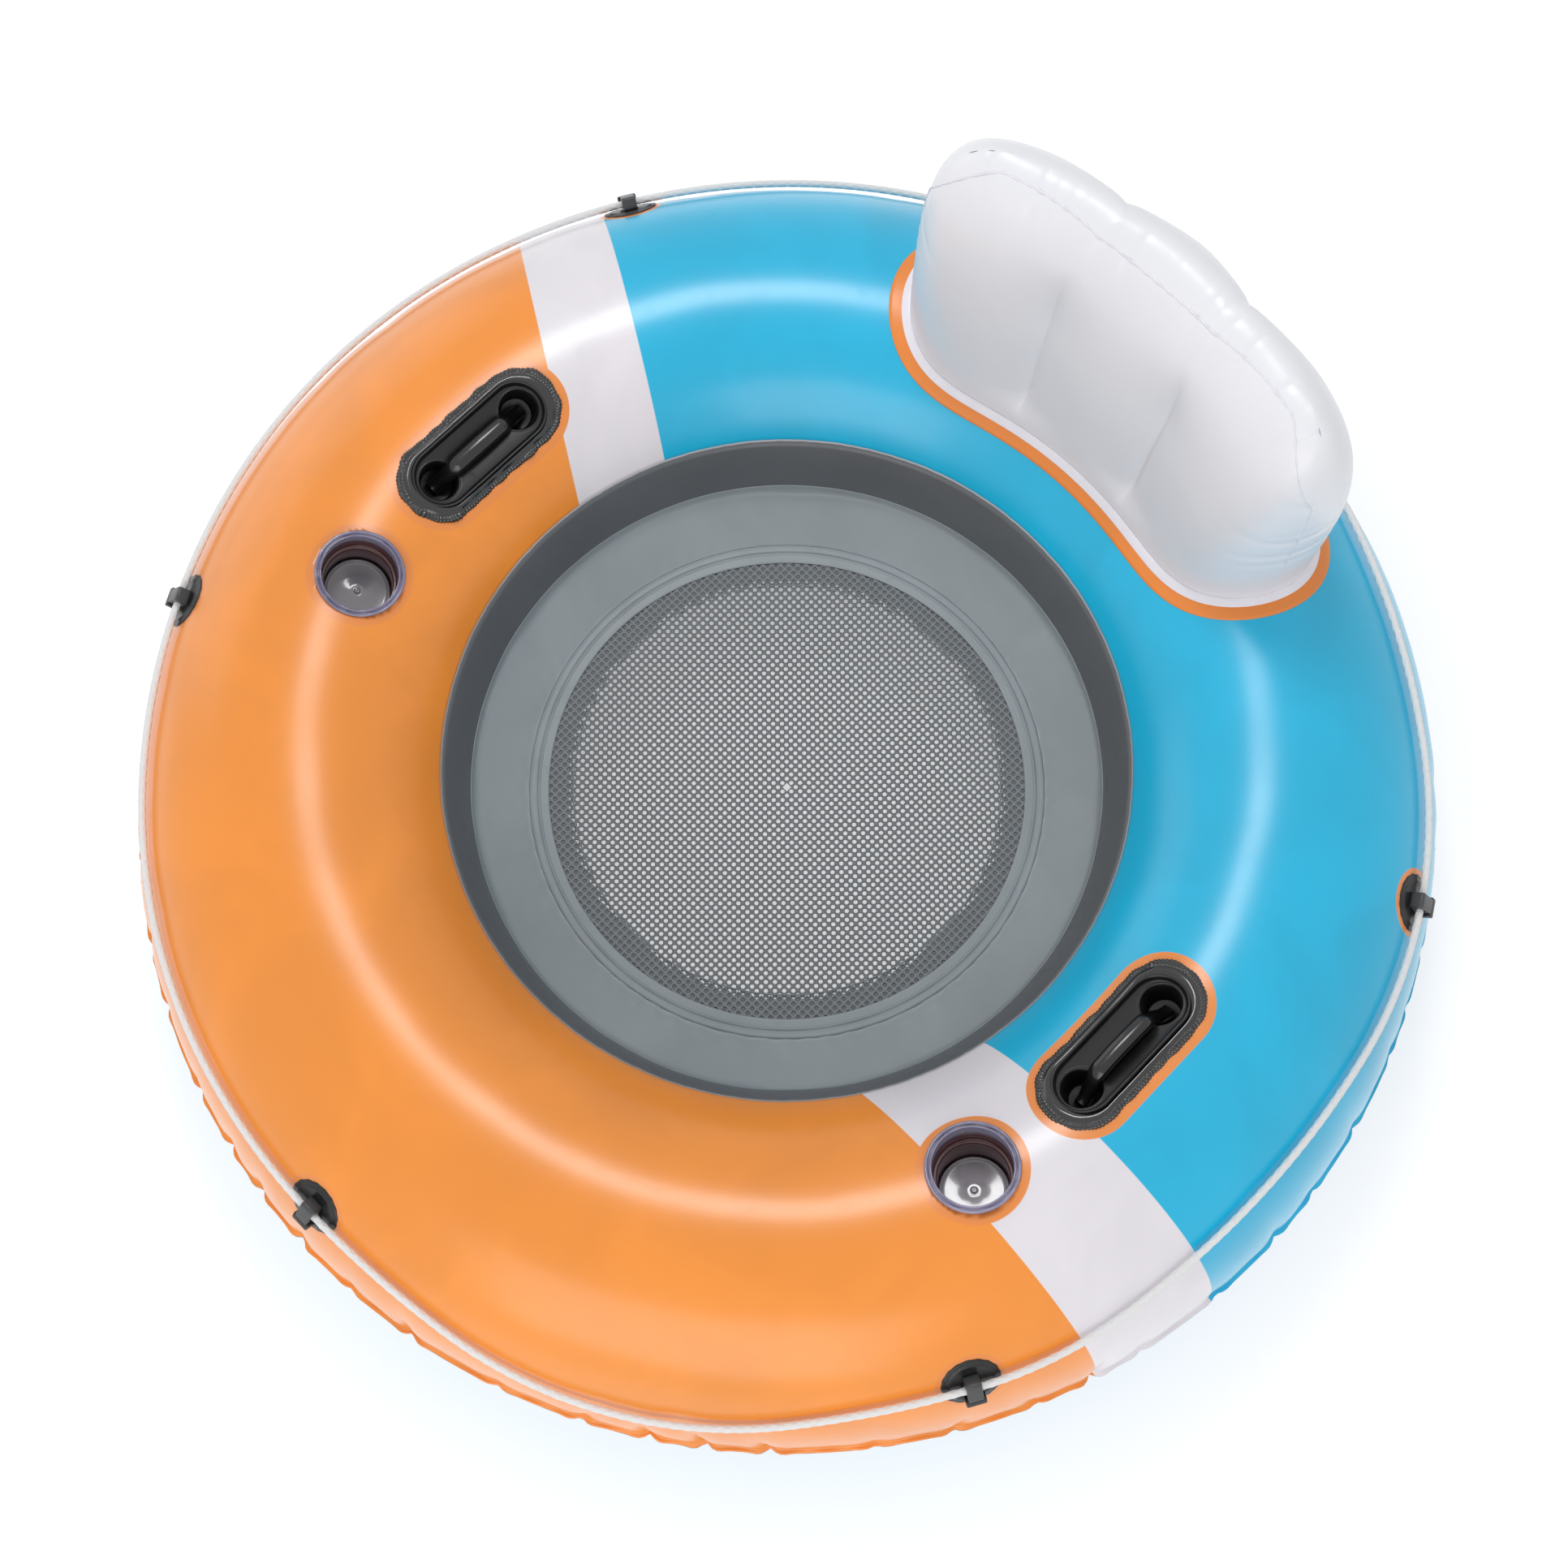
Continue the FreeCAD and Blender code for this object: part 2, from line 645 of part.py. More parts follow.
def build():
    """All sub-parts by node name."""
    nodes = {}
    upper, lower, wall = make_tube()
    tube_valve = skin_frame(backrest_azimuth, tube_valve_phi)
    for azimuth in cup_azimuths.values():
        upper = upper.cut(placed(cup_pocket(), skin_frame(azimuth, cup_phi)))
    for azimuth in handle_azimuths.values():
        upper = upper.cut(placed(handle_pocket(), skin_frame(azimuth, handle_phi)))
    nodes["top_panel"] = upper.cut(placed(valve_pocket(), tube_valve))
    nodes["bottom_panel"] = lower
    nodes["inner_wall_panel"] = wall
    floor, ring, hem, mesh, gaps = make_floor()
    nodes["floor_panel"] = floor
    nodes["floor_weld_ring"] = ring
    nodes["mesh_hem"] = hem
    nodes["seat_mesh"] = mesh
    print("mesh gaps", gaps)
    nodes["backrest_base_flange"] = make_backrest_base()
    front, rear, webs = make_pillow(skin_block(base_sheet))
    pillow_valve = backrest_valve_frame()
    nodes["backrest_front_panel"] = front
    nodes["backrest_rear_panel"] = rear.cut(placed(valve_pocket(), pillow_valve))
    nodes["backrest_web_right"] = webs[0]
    nodes["backrest_web_left"] = webs[1]
    azimuths = [lug_first_azimuth + 360.0 / lug_count * k for k in range(lug_count)]
    nodes["rope_lugs"] = Part.makeCompound([make_lug(azimuth) for azimuth in azimuths])
    nodes["grab_rope"], nodes["rope_sleeve"] = make_rope()
    for side, azimuth in handle_azimuths.items():
        patch, tray, grip = make_handle(azimuth)
        nodes["handle_patch_" + side] = patch
        nodes["handle_tray_" + side] = tray
        nodes["handle_grip_" + side] = grip
    for side, azimuth in cup_azimuths.items():
        collar, cup, base = make_cup(azimuth)
        nodes["cup_collar_" + side] = collar
        nodes["cup_wall_" + side] = cup
        nodes["cup_base_" + side] = base
    for name, shape in make_valve(tube_valve).items():
        nodes["tube_valve_" + name] = shape
    for name, shape in make_valve(pillow_valve).items():
        nodes["backrest_valve_" + name] = shape
    return nodes


os.makedirs("parts", exist_ok=True)
for node_name, node_shape in build().items():
    node_shape.exportStep(os.path.join("parts", node_name + ".step"))
    box = node_shape.BoundBox
    print("%-26s valid %s solids %d volume %.0f z %.1f to %.1f" % (
        node_name, node_shape.isValid(), len(node_shape.Solids), node_shape.Volume,
        box.ZMin, box.ZMax))
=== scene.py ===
import logging
import math
from dataclasses import dataclass, field
from enum import Enum
from typing import Callable, Sequence

import bmesh
import bpy
import numpy as np
from mathutils import Matrix, Vector


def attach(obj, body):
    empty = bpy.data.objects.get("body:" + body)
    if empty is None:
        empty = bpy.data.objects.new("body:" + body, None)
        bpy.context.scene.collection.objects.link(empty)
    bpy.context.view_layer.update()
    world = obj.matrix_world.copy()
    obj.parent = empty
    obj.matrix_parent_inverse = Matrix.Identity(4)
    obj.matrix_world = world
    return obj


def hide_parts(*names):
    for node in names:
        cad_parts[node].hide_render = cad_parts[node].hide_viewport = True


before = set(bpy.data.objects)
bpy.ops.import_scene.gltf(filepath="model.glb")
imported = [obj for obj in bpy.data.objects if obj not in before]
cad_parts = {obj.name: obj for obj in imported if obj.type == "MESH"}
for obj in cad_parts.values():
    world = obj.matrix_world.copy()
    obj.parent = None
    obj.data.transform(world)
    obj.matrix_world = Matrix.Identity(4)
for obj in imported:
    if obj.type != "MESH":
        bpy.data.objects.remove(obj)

# River tube: a blown-up ring with a pillow backrest, mesh seat, cup holders, handles and a grab rope.
# Metres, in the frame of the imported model. +Z is up and +Y points to the backrest.

log = logging.getLogger("river_tube")
Array = np.ndarray
Colour = tuple[float, float, float]


def srgb(red: int, green: int, blue: int) -> Colour:
    """Linear colour from three display values.

    Args:
        red, green, blue: display values from 0 to 255.

    Returns:
        The linear red, green and blue.
    """
    parts = [value / 255.0 for value in (red, green, blue)]
    return tuple(p / 12.92 if p < 0.04045 else ((p + 0.055) / 1.055) ** 2.4 for p in parts)


# Places on the ring


@dataclass(frozen=True)
class Placement:
    """A spot on the object with its three unit directions."""

    spot: Array
    along: Array
    across: Array
    normal: Array

    def world(self, local: Array) -> Array:
        """Points of this placement's own frame, in the row frame."""
        return (self.spot + local[..., 0:1] * self.along + local[..., 1:2] * self.across
                + local[..., 2:3] * self.normal)

    def local(self, points: Array) -> Array:
        """Row-frame points in this placement's own frame."""
        away = points - self.spot
        return np.stack([away @ self.along, away @ self.across, away @ self.normal], -1)


@dataclass(frozen=True)
class Section:
    """The round section that is swept about Z to make the air chamber."""

    ring_radius: float = 0.503
    radius: float = 0.172

    def point(self, azimuth: Array, phi: Array, offset: Array | float = 0.0) -> Array:
        """Points above the skin.

        Args:
            azimuth: degrees about Z from +X.
            phi: degrees round the section from the outer equator upwards.
            offset: height above the skin.

        Returns:
            The points, one more axis than the angles.
        """
        turn, tilt = np.radians(azimuth), np.radians(phi)
        rho = self.ring_radius + (self.radius + offset) * np.cos(tilt)
        z = self.radius + (self.radius + offset) * np.sin(tilt)
        return np.stack([rho * np.cos(turn), rho * np.sin(turn), z + 0 * rho], -1)

    def drape(self, points: Array, offset: Array | float = 0.0) -> Array:
        """The same points moved along the section's own radius to a height above the skin."""
        azimuth = np.degrees(np.arctan2(points[..., 1], points[..., 0]))
        rho = np.hypot(points[..., 0], points[..., 1]) - self.ring_radius
        return self.point(azimuth, np.degrees(np.arctan2(points[..., 2] - self.radius, rho)), offset)

    def placement(self, azimuth: float, phi: float, offset: float = 0.0) -> Placement:
        """Frame on the skin: X along the ring, Y round the section, Z outwards."""
        turn, tilt = math.radians(azimuth), math.radians(phi)
        radial = np.array([math.cos(turn), math.sin(turn), 0.0])
        along = np.array([-math.sin(turn), math.cos(turn), 0.0])
        normal = radial * math.cos(tilt) + np.array([0.0, 0.0, math.sin(tilt)])
        spot = radial * self.ring_radius + np.array([0.0, 0.0, self.radius])
        return Placement(spot + normal * (self.radius + offset), along,
                         np.cross(normal, along), normal)


RING = Section()


@dataclass(frozen=True)
class Cutout:
    """A round or slot-shaped hole in the skin."""

    placement: Placement
    half_run: float
    radius: float

    def apply(self, points: Array, snap: float) -> Array:
        """Moves grid points near the hole's edge onto it.

        Args:
            points: grid of points, changed in place.
            snap: how near to the edge a point is moved.

        Returns:
            How far each point lies outside the edge.
        """
        local = self.placement.local(points)
        run = np.sign(local[..., 0]) * np.maximum(np.abs(local[..., 0]) - self.half_run, 0.0)
        reach = np.hypot(run, local[..., 1]) + 1e-9
        outside = np.where(np.abs(local[..., 2]) < 0.06, reach - self.radius, 1.0)
        near = np.abs(outside) < snap
        shift = np.where(near, -outside / reach, 0.0)
        points += (shift * run)[..., None] * self.placement.along
        points += (shift * local[..., 1])[..., None] * self.placement.across
        return np.where(near, 0.0, outside)


# Mesh making


def grid_faces(rows: int, columns: int, close_rows: bool = False, close_columns: bool = False) -> Array:
    """Quads of a grid of points, turned so that columns cross rows is outwards.

    Args:
        rows: number of rows of points.
        columns: number of points in a row.
        close_rows: whether the last row joins the first.
        close_columns: whether the last column joins the first.

    Returns:
        Point numbers, four to a face.
    """
    r = np.arange(rows if close_rows else rows - 1)[:, None]
    c = np.arange(columns if close_columns else columns - 1)[None, :]
    r2, c2 = (r + 1) % rows, (c + 1) % columns
    corners = [r * columns + c, r * columns + c2, r2 * columns + c2, r2 * columns + c]
    return np.stack(corners, -1).reshape(-1, 4)


def mesh_piece(name: str, points: Array, faces: Array, finish: "Finish",
               smooth: bool = True) -> bpy.types.Object:
    """A mesh object from points and equal-sided faces.

    Args:
        name: the piece's name.
        points: points in the row frame.
        faces: point numbers, one row to a face.
        finish: what the piece is dressed in.
        smooth: whether it is shaded smooth.

    Returns:
        The new object.
    """
    points = np.ascontiguousarray(points.reshape(-1, 3), dtype=np.float32)
    sides = faces.shape[1]
    mesh = bpy.data.meshes.new(name)
    mesh.vertices.add(len(points))
    mesh.vertices.foreach_set("co", points.ravel())
    mesh.loops.add(faces.size)
    mesh.loops.foreach_set("vertex_index", np.ascontiguousarray(faces, dtype=np.int32).ravel())
    mesh.polygons.add(len(faces))
    mesh.polygons.foreach_set("loop_start", np.arange(0, faces.size, sides, dtype=np.int32))
    mesh.update(calc_edges=True)
    mesh.validate()
    mesh.polygons.foreach_set("use_smooth", np.full(len(mesh.polygons), smooth))
    mesh.materials.append(finish.material())
    piece = bpy.data.objects.new(name, mesh)
    bpy.context.scene.collection.objects.link(piece)
    return piece


def join_pieces(name: str, pieces: Sequence[bpy.types.Object]) -> bpy.types.Object:
    """One object from several, with its modifiers applied first."""
    graph = bpy.context.evaluated_depsgraph_get()
    points, faces, spots, materials, start = [], [], [], [], 0
    for piece in pieces:
        mesh = bpy.data.meshes.new_from_object(piece.evaluated_get(graph))
        if mesh.materials[0] not in materials:
            materials.append(mesh.materials[0])
        points += [tuple(v.co) for v in mesh.vertices]
        faces += [tuple(start + i for i in p.vertices) for p in mesh.polygons]
        spots += [materials.index(mesh.materials[0])] * len(mesh.polygons)
        start += len(mesh.vertices)
        bpy.data.meshes.remove(mesh)
        bpy.data.objects.remove(piece)
    joined = bpy.data.meshes.new(name)
    joined.from_pydata(points, [], faces)
    joined.polygons.foreach_set("use_smooth", np.full(len(faces), True))
    for material in materials:
        joined.materials.append(material)
    joined.polygons.foreach_set("material_index", spots)
    result = bpy.data.objects.new(name, joined)
    bpy.context.scene.collection.objects.link(result)
    return result


def solidify(piece: bpy.types.Object, thickness: float, offset: float = -1.0) -> None:
    """Gives a sheet its thickness."""
    layer = piece.modifiers.new("sheet", "SOLIDIFY")
    layer.thickness = thickness
    layer.offset = offset


def round_edges(piece: bpy.types.Object, width: float, segments: int = 2, angle: float = 35.0) -> None:
    """Rounds the sharp edges of a moulded piece."""
    bevel = piece.modifiers.new("edges", "BEVEL")
    bevel.width = width
    bevel.segments = segments
    bevel.limit_method = "ANGLE"
    bevel.angle_limit = math.radians(angle)


def smooth_step(value: Array, low: float, high: float) -> Array:
    """Soft step from 0 at low to 1 at high."""
    t = np.clip((value - low) / (high - low), 0.0, 1.0)
    return t * t * (3 - 2 * t)


def resample(points: Sequence[tuple[float, float]], count: int) -> Array:
    """Evenly spaced points along a two-number polyline."""
    line = np.array(points, float)
    run = np.concatenate([[0.0], np.cumsum(np.hypot(*np.diff(line, axis=0).T))])
    spots = np.linspace(0.0, run[-1], count)
    return np.stack([np.interp(spots, run, line[:, 0]), np.interp(spots, run, line[:, 1])], -1)


def lathe(name: str, profile: Sequence[tuple[float, float]], placement: Placement, finish: "Finish",
          steps: int = 96, ripple: float = 0.0, waves: int = 9) -> bpy.types.Object:
    """A turned piece about a placement's normal.

    Args:
        name: the piece's name.
        profile: closed line of (radius, height) in millimetres, with the solid on its left.
        placement: where the axis stands.
        finish: what the piece is dressed in.
        steps: points round the axis.
        ripple: how far the height waves, in millimetres, as soft vinyl does.
        waves: number of those waves.

    Returns:
        The new object.
    """
    line = np.array(profile, float) / 1000.0
    turn = np.linspace(0.0, 2 * math.pi, steps, endpoint=False)[None, :]
    radius, height = line[:, 0:1], line[:, 1:2]
    lift = ripple / 1000.0 * np.sin(waves * turn + 3 * np.sin(turn))
    local = np.stack([radius * np.cos(turn), radius * np.sin(turn), height + lift + 0 * turn], -1)
    piece = mesh_piece(name, placement.world(local), grid_faces(len(line), steps, True, True), finish)
    round_edges(piece, 0.0004, 2)
    return piece


def tube_along(name: str, path: Array, radius: Array | float, sides: int, finish: "Finish",
               closed: bool = False, upright: Sequence[float] = (0.0, 0.0, 1.0)) -> bpy.types.Object:
    """A round bead along a path.

    Args:
        name: the piece's name.
        path: points in the row frame.
        radius: radius at each point, or (points, sides) radii.
        sides: points round the bead.
        finish: what it is dressed in.
        closed: whether the path's ends meet.
        upright: a direction that the path never runs along.

    Returns:
        The new object.
    """
    ahead = np.roll(path, -1, 0) if closed else np.vstack([path[1:], 2 * path[-1] - path[-2]])
    behind = np.roll(path, 1, 0) if closed else np.vstack([2 * path[0] - path[1], path[:-1]])
    tangent = ahead - behind
    tangent /= np.linalg.norm(tangent, axis=1, keepdims=True)
    side = np.cross(tangent, upright)
    side /= np.linalg.norm(side, axis=1, keepdims=True) + 1e-9
    lift = np.cross(side, tangent)
    turn = np.linspace(0, 2 * math.pi, sides, endpoint=False)
    given = np.asarray(radius, float)
    reach = np.broadcast_to(given.reshape(-1, 1) if given.ndim == 1 else given, (len(path), sides))
    points = (path[:, None] + (reach * np.cos(turn))[..., None] * side[:, None]
              + (reach * np.sin(turn))[..., None] * lift[:, None])
    faces = grid_faces(len(path), sides, closed, True)[:, ::-1]
    return mesh_piece(name, points, faces, finish)


# Shader groups


class Tree:
    """Adds nodes to a node tree and links them."""

    def __init__(self, tree: bpy.types.NodeTree) -> None:
        """Keeps the tree that nodes go into."""
        self.tree = tree

    def add(self, kind: str, **settings: object) -> bpy.types.Node:
        """A new node with some of its settings."""
        node = self.tree.nodes.new(kind)
        for name, value in settings.items():
            setattr(node, name, value)
        return node

    def join(self, source: object, target: bpy.types.NodeSocket) -> None:
        """Links a socket, or sets a plain value."""
        if isinstance(source, bpy.types.NodeSocket):
            self.tree.links.new(source, target)
        else:
            target.default_value = source

    def math(self, operation: str, a: object, b: object = 0.0, c: object = 0.0,
             clamp: bool = False) -> bpy.types.NodeSocket:
        """Result of a maths node."""
        node = self.add("ShaderNodeMath", operation=operation, use_clamp=clamp)
        for source, target in zip((a, b, c), node.inputs):
            self.join(source, target)
        return node.outputs[0]

    def vector(self, operation: str, a: object, b: object = (0, 0, 0),
               value: bool = False) -> bpy.types.NodeSocket:
        """Result of a vector maths node, its value output where value is true."""
        node = self.add("ShaderNodeVectorMath", operation=operation)
        self.join(a, node.inputs[0])
        self.join(b, node.inputs[1])
        return node.outputs["Value" if value else "Vector"]

    def mix(self, factor: object, a: object, b: object) -> bpy.types.NodeSocket:
        """Colour between a and b."""
        node = self.add("ShaderNodeMix", data_type="RGBA")
        for source, target in ((factor, 0), (a, 6), (b, 7)):
            if isinstance(source, tuple):
                source = (*source, 1.0)
            self.join(source, node.inputs[target])
        return node.outputs[2]

    def smooth(self, value: object, low: float, high: float, start: float = 0.0,
               end: float = 1.0) -> bpy.types.NodeSocket:
        """Smooth step of a value."""
        node = self.add("ShaderNodeMapRange", interpolation_type="SMOOTHSTEP")
        for source, target in zip((value, low, high, start, end), node.inputs):
            self.join(source, target)
        return node.outputs[0]

    def noise(self, position: object, scale: object, detail: float = 2.0,
              distortion: float = 0.0) -> bpy.types.NodeSocket:
        """Value of a noise texture."""
        node = self.add("ShaderNodeTexNoise")
        self.join(position, node.inputs["Vector"])
        self.join(scale, node.inputs["Scale"])
        node.inputs["Detail"].default_value = detail
        node.inputs["Distortion"].default_value = distortion
        return node.outputs[0]

    def seen_rays(self) -> bpy.types.NodeSocket:
        """1 where the camera sees a surface, also in reflections and through clear things."""
        path = self.add("ShaderNodeLightPath")
        through = self.math("MAXIMUM", path.outputs["Is Glossy Ray"], path.outputs["Is Transmission Ray"])
        return self.math("MAXIMUM", path.outputs["Is Camera Ray"], through)

    def group(self, which: bpy.types.NodeTree, **values: object) -> bpy.types.Node:
        """A placed group with its own values."""
        node = self.add("ShaderNodeGroup", node_tree=which)
        for name, value in values.items():
            self.join(value, node.inputs[name.replace("_", " ")])
        return node


class Effect(Enum):
    """Surface effects that several finishes share."""

    FILM = "film surface"
    CRINKLE = "crinkles"
    HALF_PLANE = "print edge"
    PRINT_RING = "print ring"
    YARN = "yarn"


class ShaderGroups:
    """Builds each shared effect once."""

    made: dict[Effect, bpy.types.NodeTree] = {}

    @classmethod
    def get(cls, effect: Effect) -> bpy.types.NodeTree:
        """The group of one effect, made at its first use."""
        if effect not in cls.made:
            cls.made[effect] = {
                Effect.FILM: cls.film, Effect.CRINKLE: cls.crinkle, Effect.HALF_PLANE: cls.half_plane,
                Effect.PRINT_RING: cls.print_ring, Effect.YARN: cls.yarn}[effect]()
        return cls.made[effect]

    @staticmethod
    def start(effect: Effect, inputs: dict[str, tuple[str, object]],
              outputs: dict[str, str]) -> tuple[Tree, bpy.types.Node, bpy.types.Node]:
        """An empty group with its sockets.

        Args:
            effect: the effect it makes.
            inputs: socket kind and default by name.
            outputs: socket kind by name.

        Returns:
            The tree, its input node and its output node.
        """
        group = bpy.data.node_groups.new(effect.value, "ShaderNodeTree")
        for name, (kind, value) in inputs.items():
            socket = group.interface.new_socket(name=name, in_out="INPUT", socket_type="NodeSocket" + kind)
            if value is not None:
                socket.default_value = value
        for name, kind in outputs.items():
            group.interface.new_socket(name=name, in_out="OUTPUT", socket_type="NodeSocket" + kind)
        tree = Tree(group)
        return tree, tree.add("NodeGroupInput"), tree.add("NodeGroupOutput")

    @classmethod
    def film(cls) -> bpy.types.NodeTree:
        """Vinyl film: fine orange peel, slow cloudiness, and dull handling marks."""
        tree, given, out = cls.start(
            Effect.FILM,
            {"Position": ("Vector", None), "Grain": ("Float", 900.0), "Cloud": ("Float", 7.0)},
            {"Height": "Float", "Cloud": "Float", "Marks": "Float"})
        fine = tree.noise(given.outputs["Position"], given.outputs["Grain"], 3.0)
        slow = tree.noise(given.outputs["Position"], given.outputs["Cloud"], 3.0, 0.6)
        marks = tree.noise(given.outputs["Position"], 38.0, 5.0, 1.2)
        height = tree.math("MULTIPLY_ADD", fine, 0.25, tree.math("MULTIPLY", slow, 0.75))
        tree.join(height, out.inputs["Height"])
        tree.join(slow, out.inputs["Cloud"])
        tree.join(tree.smooth(marks, 0.52, 0.75), out.inputs["Marks"])
        return tree.tree

    @classmethod
    def crinkle(cls) -> bpy.types.NodeTree:
        """Soft creases of a thin sheet, as lines between flat fields."""
        tree, given, out = cls.start(
            Effect.CRINKLE,
            {"Position": ("Vector", None), "Scale": ("Float", 22.0), "Width": ("Float", 0.12)},
            {"Height": "Float"})
        bent = tree.add("ShaderNodeTexNoise")
        tree.join(given.outputs["Position"], bent.inputs["Vector"])
        bent.inputs["Scale"].default_value = 9.0
        centred = tree.vector("SUBTRACT", bent.outputs["Color"], (0.5, 0.5, 0.5))
        shift = tree.vector("MULTIPLY", centred, (0.12, 0.12, 0.12))
        cells = tree.add("ShaderNodeTexVoronoi", feature="DISTANCE_TO_EDGE")
        tree.join(tree.vector("ADD", given.outputs["Position"], shift), cells.inputs["Vector"])
        tree.join(given.outputs["Scale"], cells.inputs["Scale"])
        line = tree.math("DIVIDE", cells.outputs["Distance"], given.outputs["Width"], clamp=True)
        fade = tree.noise(given.outputs["Position"], 6.0, 1.0)
        tree.join(tree.math("MULTIPLY", tree.math("POWER", line, 0.6), fade), out.inputs["Height"])
        return tree.tree

    @classmethod
    def half_plane(cls) -> bpy.types.NodeTree:
        """Mask that is 1 on one side of a straight print edge seen from above."""
        tree, given, out = cls.start(
            Effect.HALF_PLANE,
            {"Position": ("Vector", None), "Spot": ("Vector", (0, 0, 0)), "Towards": ("Vector", (0, 1, 0))},
            {"Mask": "Float"})
        away = tree.vector("SUBTRACT", given.outputs["Position"], given.outputs["Spot"])
        side = tree.vector("DOT_PRODUCT", away, given.outputs["Towards"], value=True)
        tree.join(tree.smooth(side, -0.0006, 0.0006), out.inputs["Mask"])
        return tree.tree

    @classmethod
    def print_ring(cls) -> bpy.types.NodeTree:
        """Mask that is 1 within a radius of a spot or of a short run through it."""
        tree, given, out = cls.start(
            Effect.PRINT_RING,
            {"Position": ("Vector", None), "Spot": ("Vector", (0, 0, 0)), "Half Run": ("Float", 0.0),
             "Radius": ("Float", 0.05)},
            {"Mask": "Float"})
        parts = tree.add("ShaderNodeSeparateXYZ")
        tree.join(tree.vector("SUBTRACT", given.outputs["Position"], given.outputs["Spot"]), parts.inputs[0])
        past = tree.math("SUBTRACT", tree.math("ABSOLUTE", parts.outputs[1]), given.outputs["Half Run"])
        run = tree.math("MAXIMUM", past, 0.0)
        whole = tree.math("GREATER_THAN", given.outputs["Half Run"], 0.0001)
        of_slot = tree.math("MULTIPLY", whole, run)
        of_circle = tree.math("MULTIPLY", tree.math("SUBTRACT", 1.0, whole), parts.outputs[1])
        y = tree.math("ADD", of_slot, of_circle)
        again = tree.add("ShaderNodeCombineXYZ")
        for value, socket in zip((parts.outputs[0], y, parts.outputs[2]), again.inputs):
            tree.join(value, socket)
        away = tree.vector("LENGTH", again.outputs[0], value=True)
        inside = tree.math("SUBTRACT", given.outputs["Radius"], away)
        tree.join(tree.smooth(inside, -0.0006, 0.0006), out.inputs["Mask"])
        return tree.tree

    @classmethod
    def yarn(cls) -> bpy.types.NodeTree:
        """Knitted yarn: fine crossing ribs with loose fibres."""
        tree, given, out = cls.start(
            Effect.YARN, {"Position": ("Vector", None), "Scale": ("Float", 1500.0)},
            {"Height": "Float", "Shade": "Float"})
        ribs = []
        for direction in ("DIAGONAL", "X"):
            wave = tree.add("ShaderNodeTexWave", bands_direction=direction)
            tree.join(given.outputs["Position"], wave.inputs["Vector"])
            tree.join(given.outputs["Scale"], wave.inputs["Scale"])
            wave.inputs["Distortion"].default_value = 1.5
            ribs.append(wave.outputs["Fac"])
        fibre = tree.noise(given.outputs["Position"], 2600.0, 3.0)
        rib = tree.math("MAXIMUM", ribs[0], ribs[1])
        height = tree.math("MULTIPLY_ADD", fibre, 0.4, tree.math("MULTIPLY", rib, 0.6))
        tree.join(height, out.inputs["Height"])
        tree.join(tree.noise(given.outputs["Position"], 60.0, 2.0), out.inputs["Shade"])
        return tree.tree


# Finishes


class Finish:
    """Something a piece is dressed in."""

    name: str
    made: dict[str, bpy.types.Material] = {}

    def material(self) -> bpy.types.Material:
        """The finish's material, made at its first use."""
        if self.name not in Finish.made:
            material = bpy.data.materials.new(self.name)
            material.use_nodes = True
            tree = Tree(material.node_tree)
            shader = material.node_tree.nodes["Principled BSDF"]
            position = tree.add("ShaderNodeTexCoord").outputs["Object"]
            self.dress(tree, shader, position)
            Finish.made[self.name] = material
        return Finish.made[self.name]

    def dress(self, tree: Tree, shader: bpy.types.Node, position: bpy.types.NodeSocket) -> None:
        """Wires the finish into a Principled shader."""
        raise NotImplementedError


@dataclass(frozen=True)
class Vinyl(Finish):
    """Plain vinyl film or moulded vinyl of one colour."""

    name: str
    colour: Colour
    roughness: float = 0.34
    coat: float = 0.25
    coat_roughness: float = 0.22
    grain: float = 900.0
    bump: float = 0.25
    bump_depth: float = 0.0004
    crinkle: float = 0.0
    crinkle_scale: float = 22.0
    shade: float = 0.10
    dull: float = 0.12
    specular: float = 0.5

    def tint(self, tree: Tree, position: bpy.types.NodeSocket) -> object:
        """Base colour before shading variation."""
        return (*self.colour, 1.0)

    def dress(self, tree: Tree, shader: bpy.types.Node, position: bpy.types.NodeSocket) -> None:
        """Colour with slow cloudiness, gloss with dull marks, and film relief."""
        film = tree.group(ShaderGroups.get(Effect.FILM), Position=position, Grain=self.grain)
        base = self.tint(tree, position)
        low = tree.add("ShaderNodeMix", data_type="RGBA", blend_type="MULTIPLY")
        low.inputs[0].default_value = 1.0
        tree.join(base, low.inputs[6])
        grey = tree.smooth(film.outputs["Cloud"], 0.3, 0.7, 1.0 - self.shade, 1.0)
        tree.join(grey, low.inputs[7])
        tree.join(low.outputs[2], shader.inputs["Base Color"])
        rough = tree.math("MULTIPLY_ADD", film.outputs["Marks"], self.dull, self.roughness)
        tree.join(rough, shader.inputs["Roughness"])
        shader.inputs["Specular IOR Level"].default_value = self.specular
        shader.inputs["Coat Weight"].default_value = self.coat
        shader.inputs["Coat Roughness"].default_value = self.coat_roughness
        height = film.outputs["Height"]
        if self.crinkle:
            lines = tree.group(ShaderGroups.get(Effect.CRINKLE), Position=position, Scale=self.crinkle_scale)
            height = tree.math("MULTIPLY_ADD", lines.outputs["Height"], self.crinkle, height)
        bump = tree.add("ShaderNodeBump")
        bump.inputs["Strength"].default_value = self.bump
        bump.inputs["Distance"].default_value = self.bump_depth
        tree.join(height, bump.inputs["Height"])
        tree.join(bump.outputs[0], shader.inputs["Normal"])


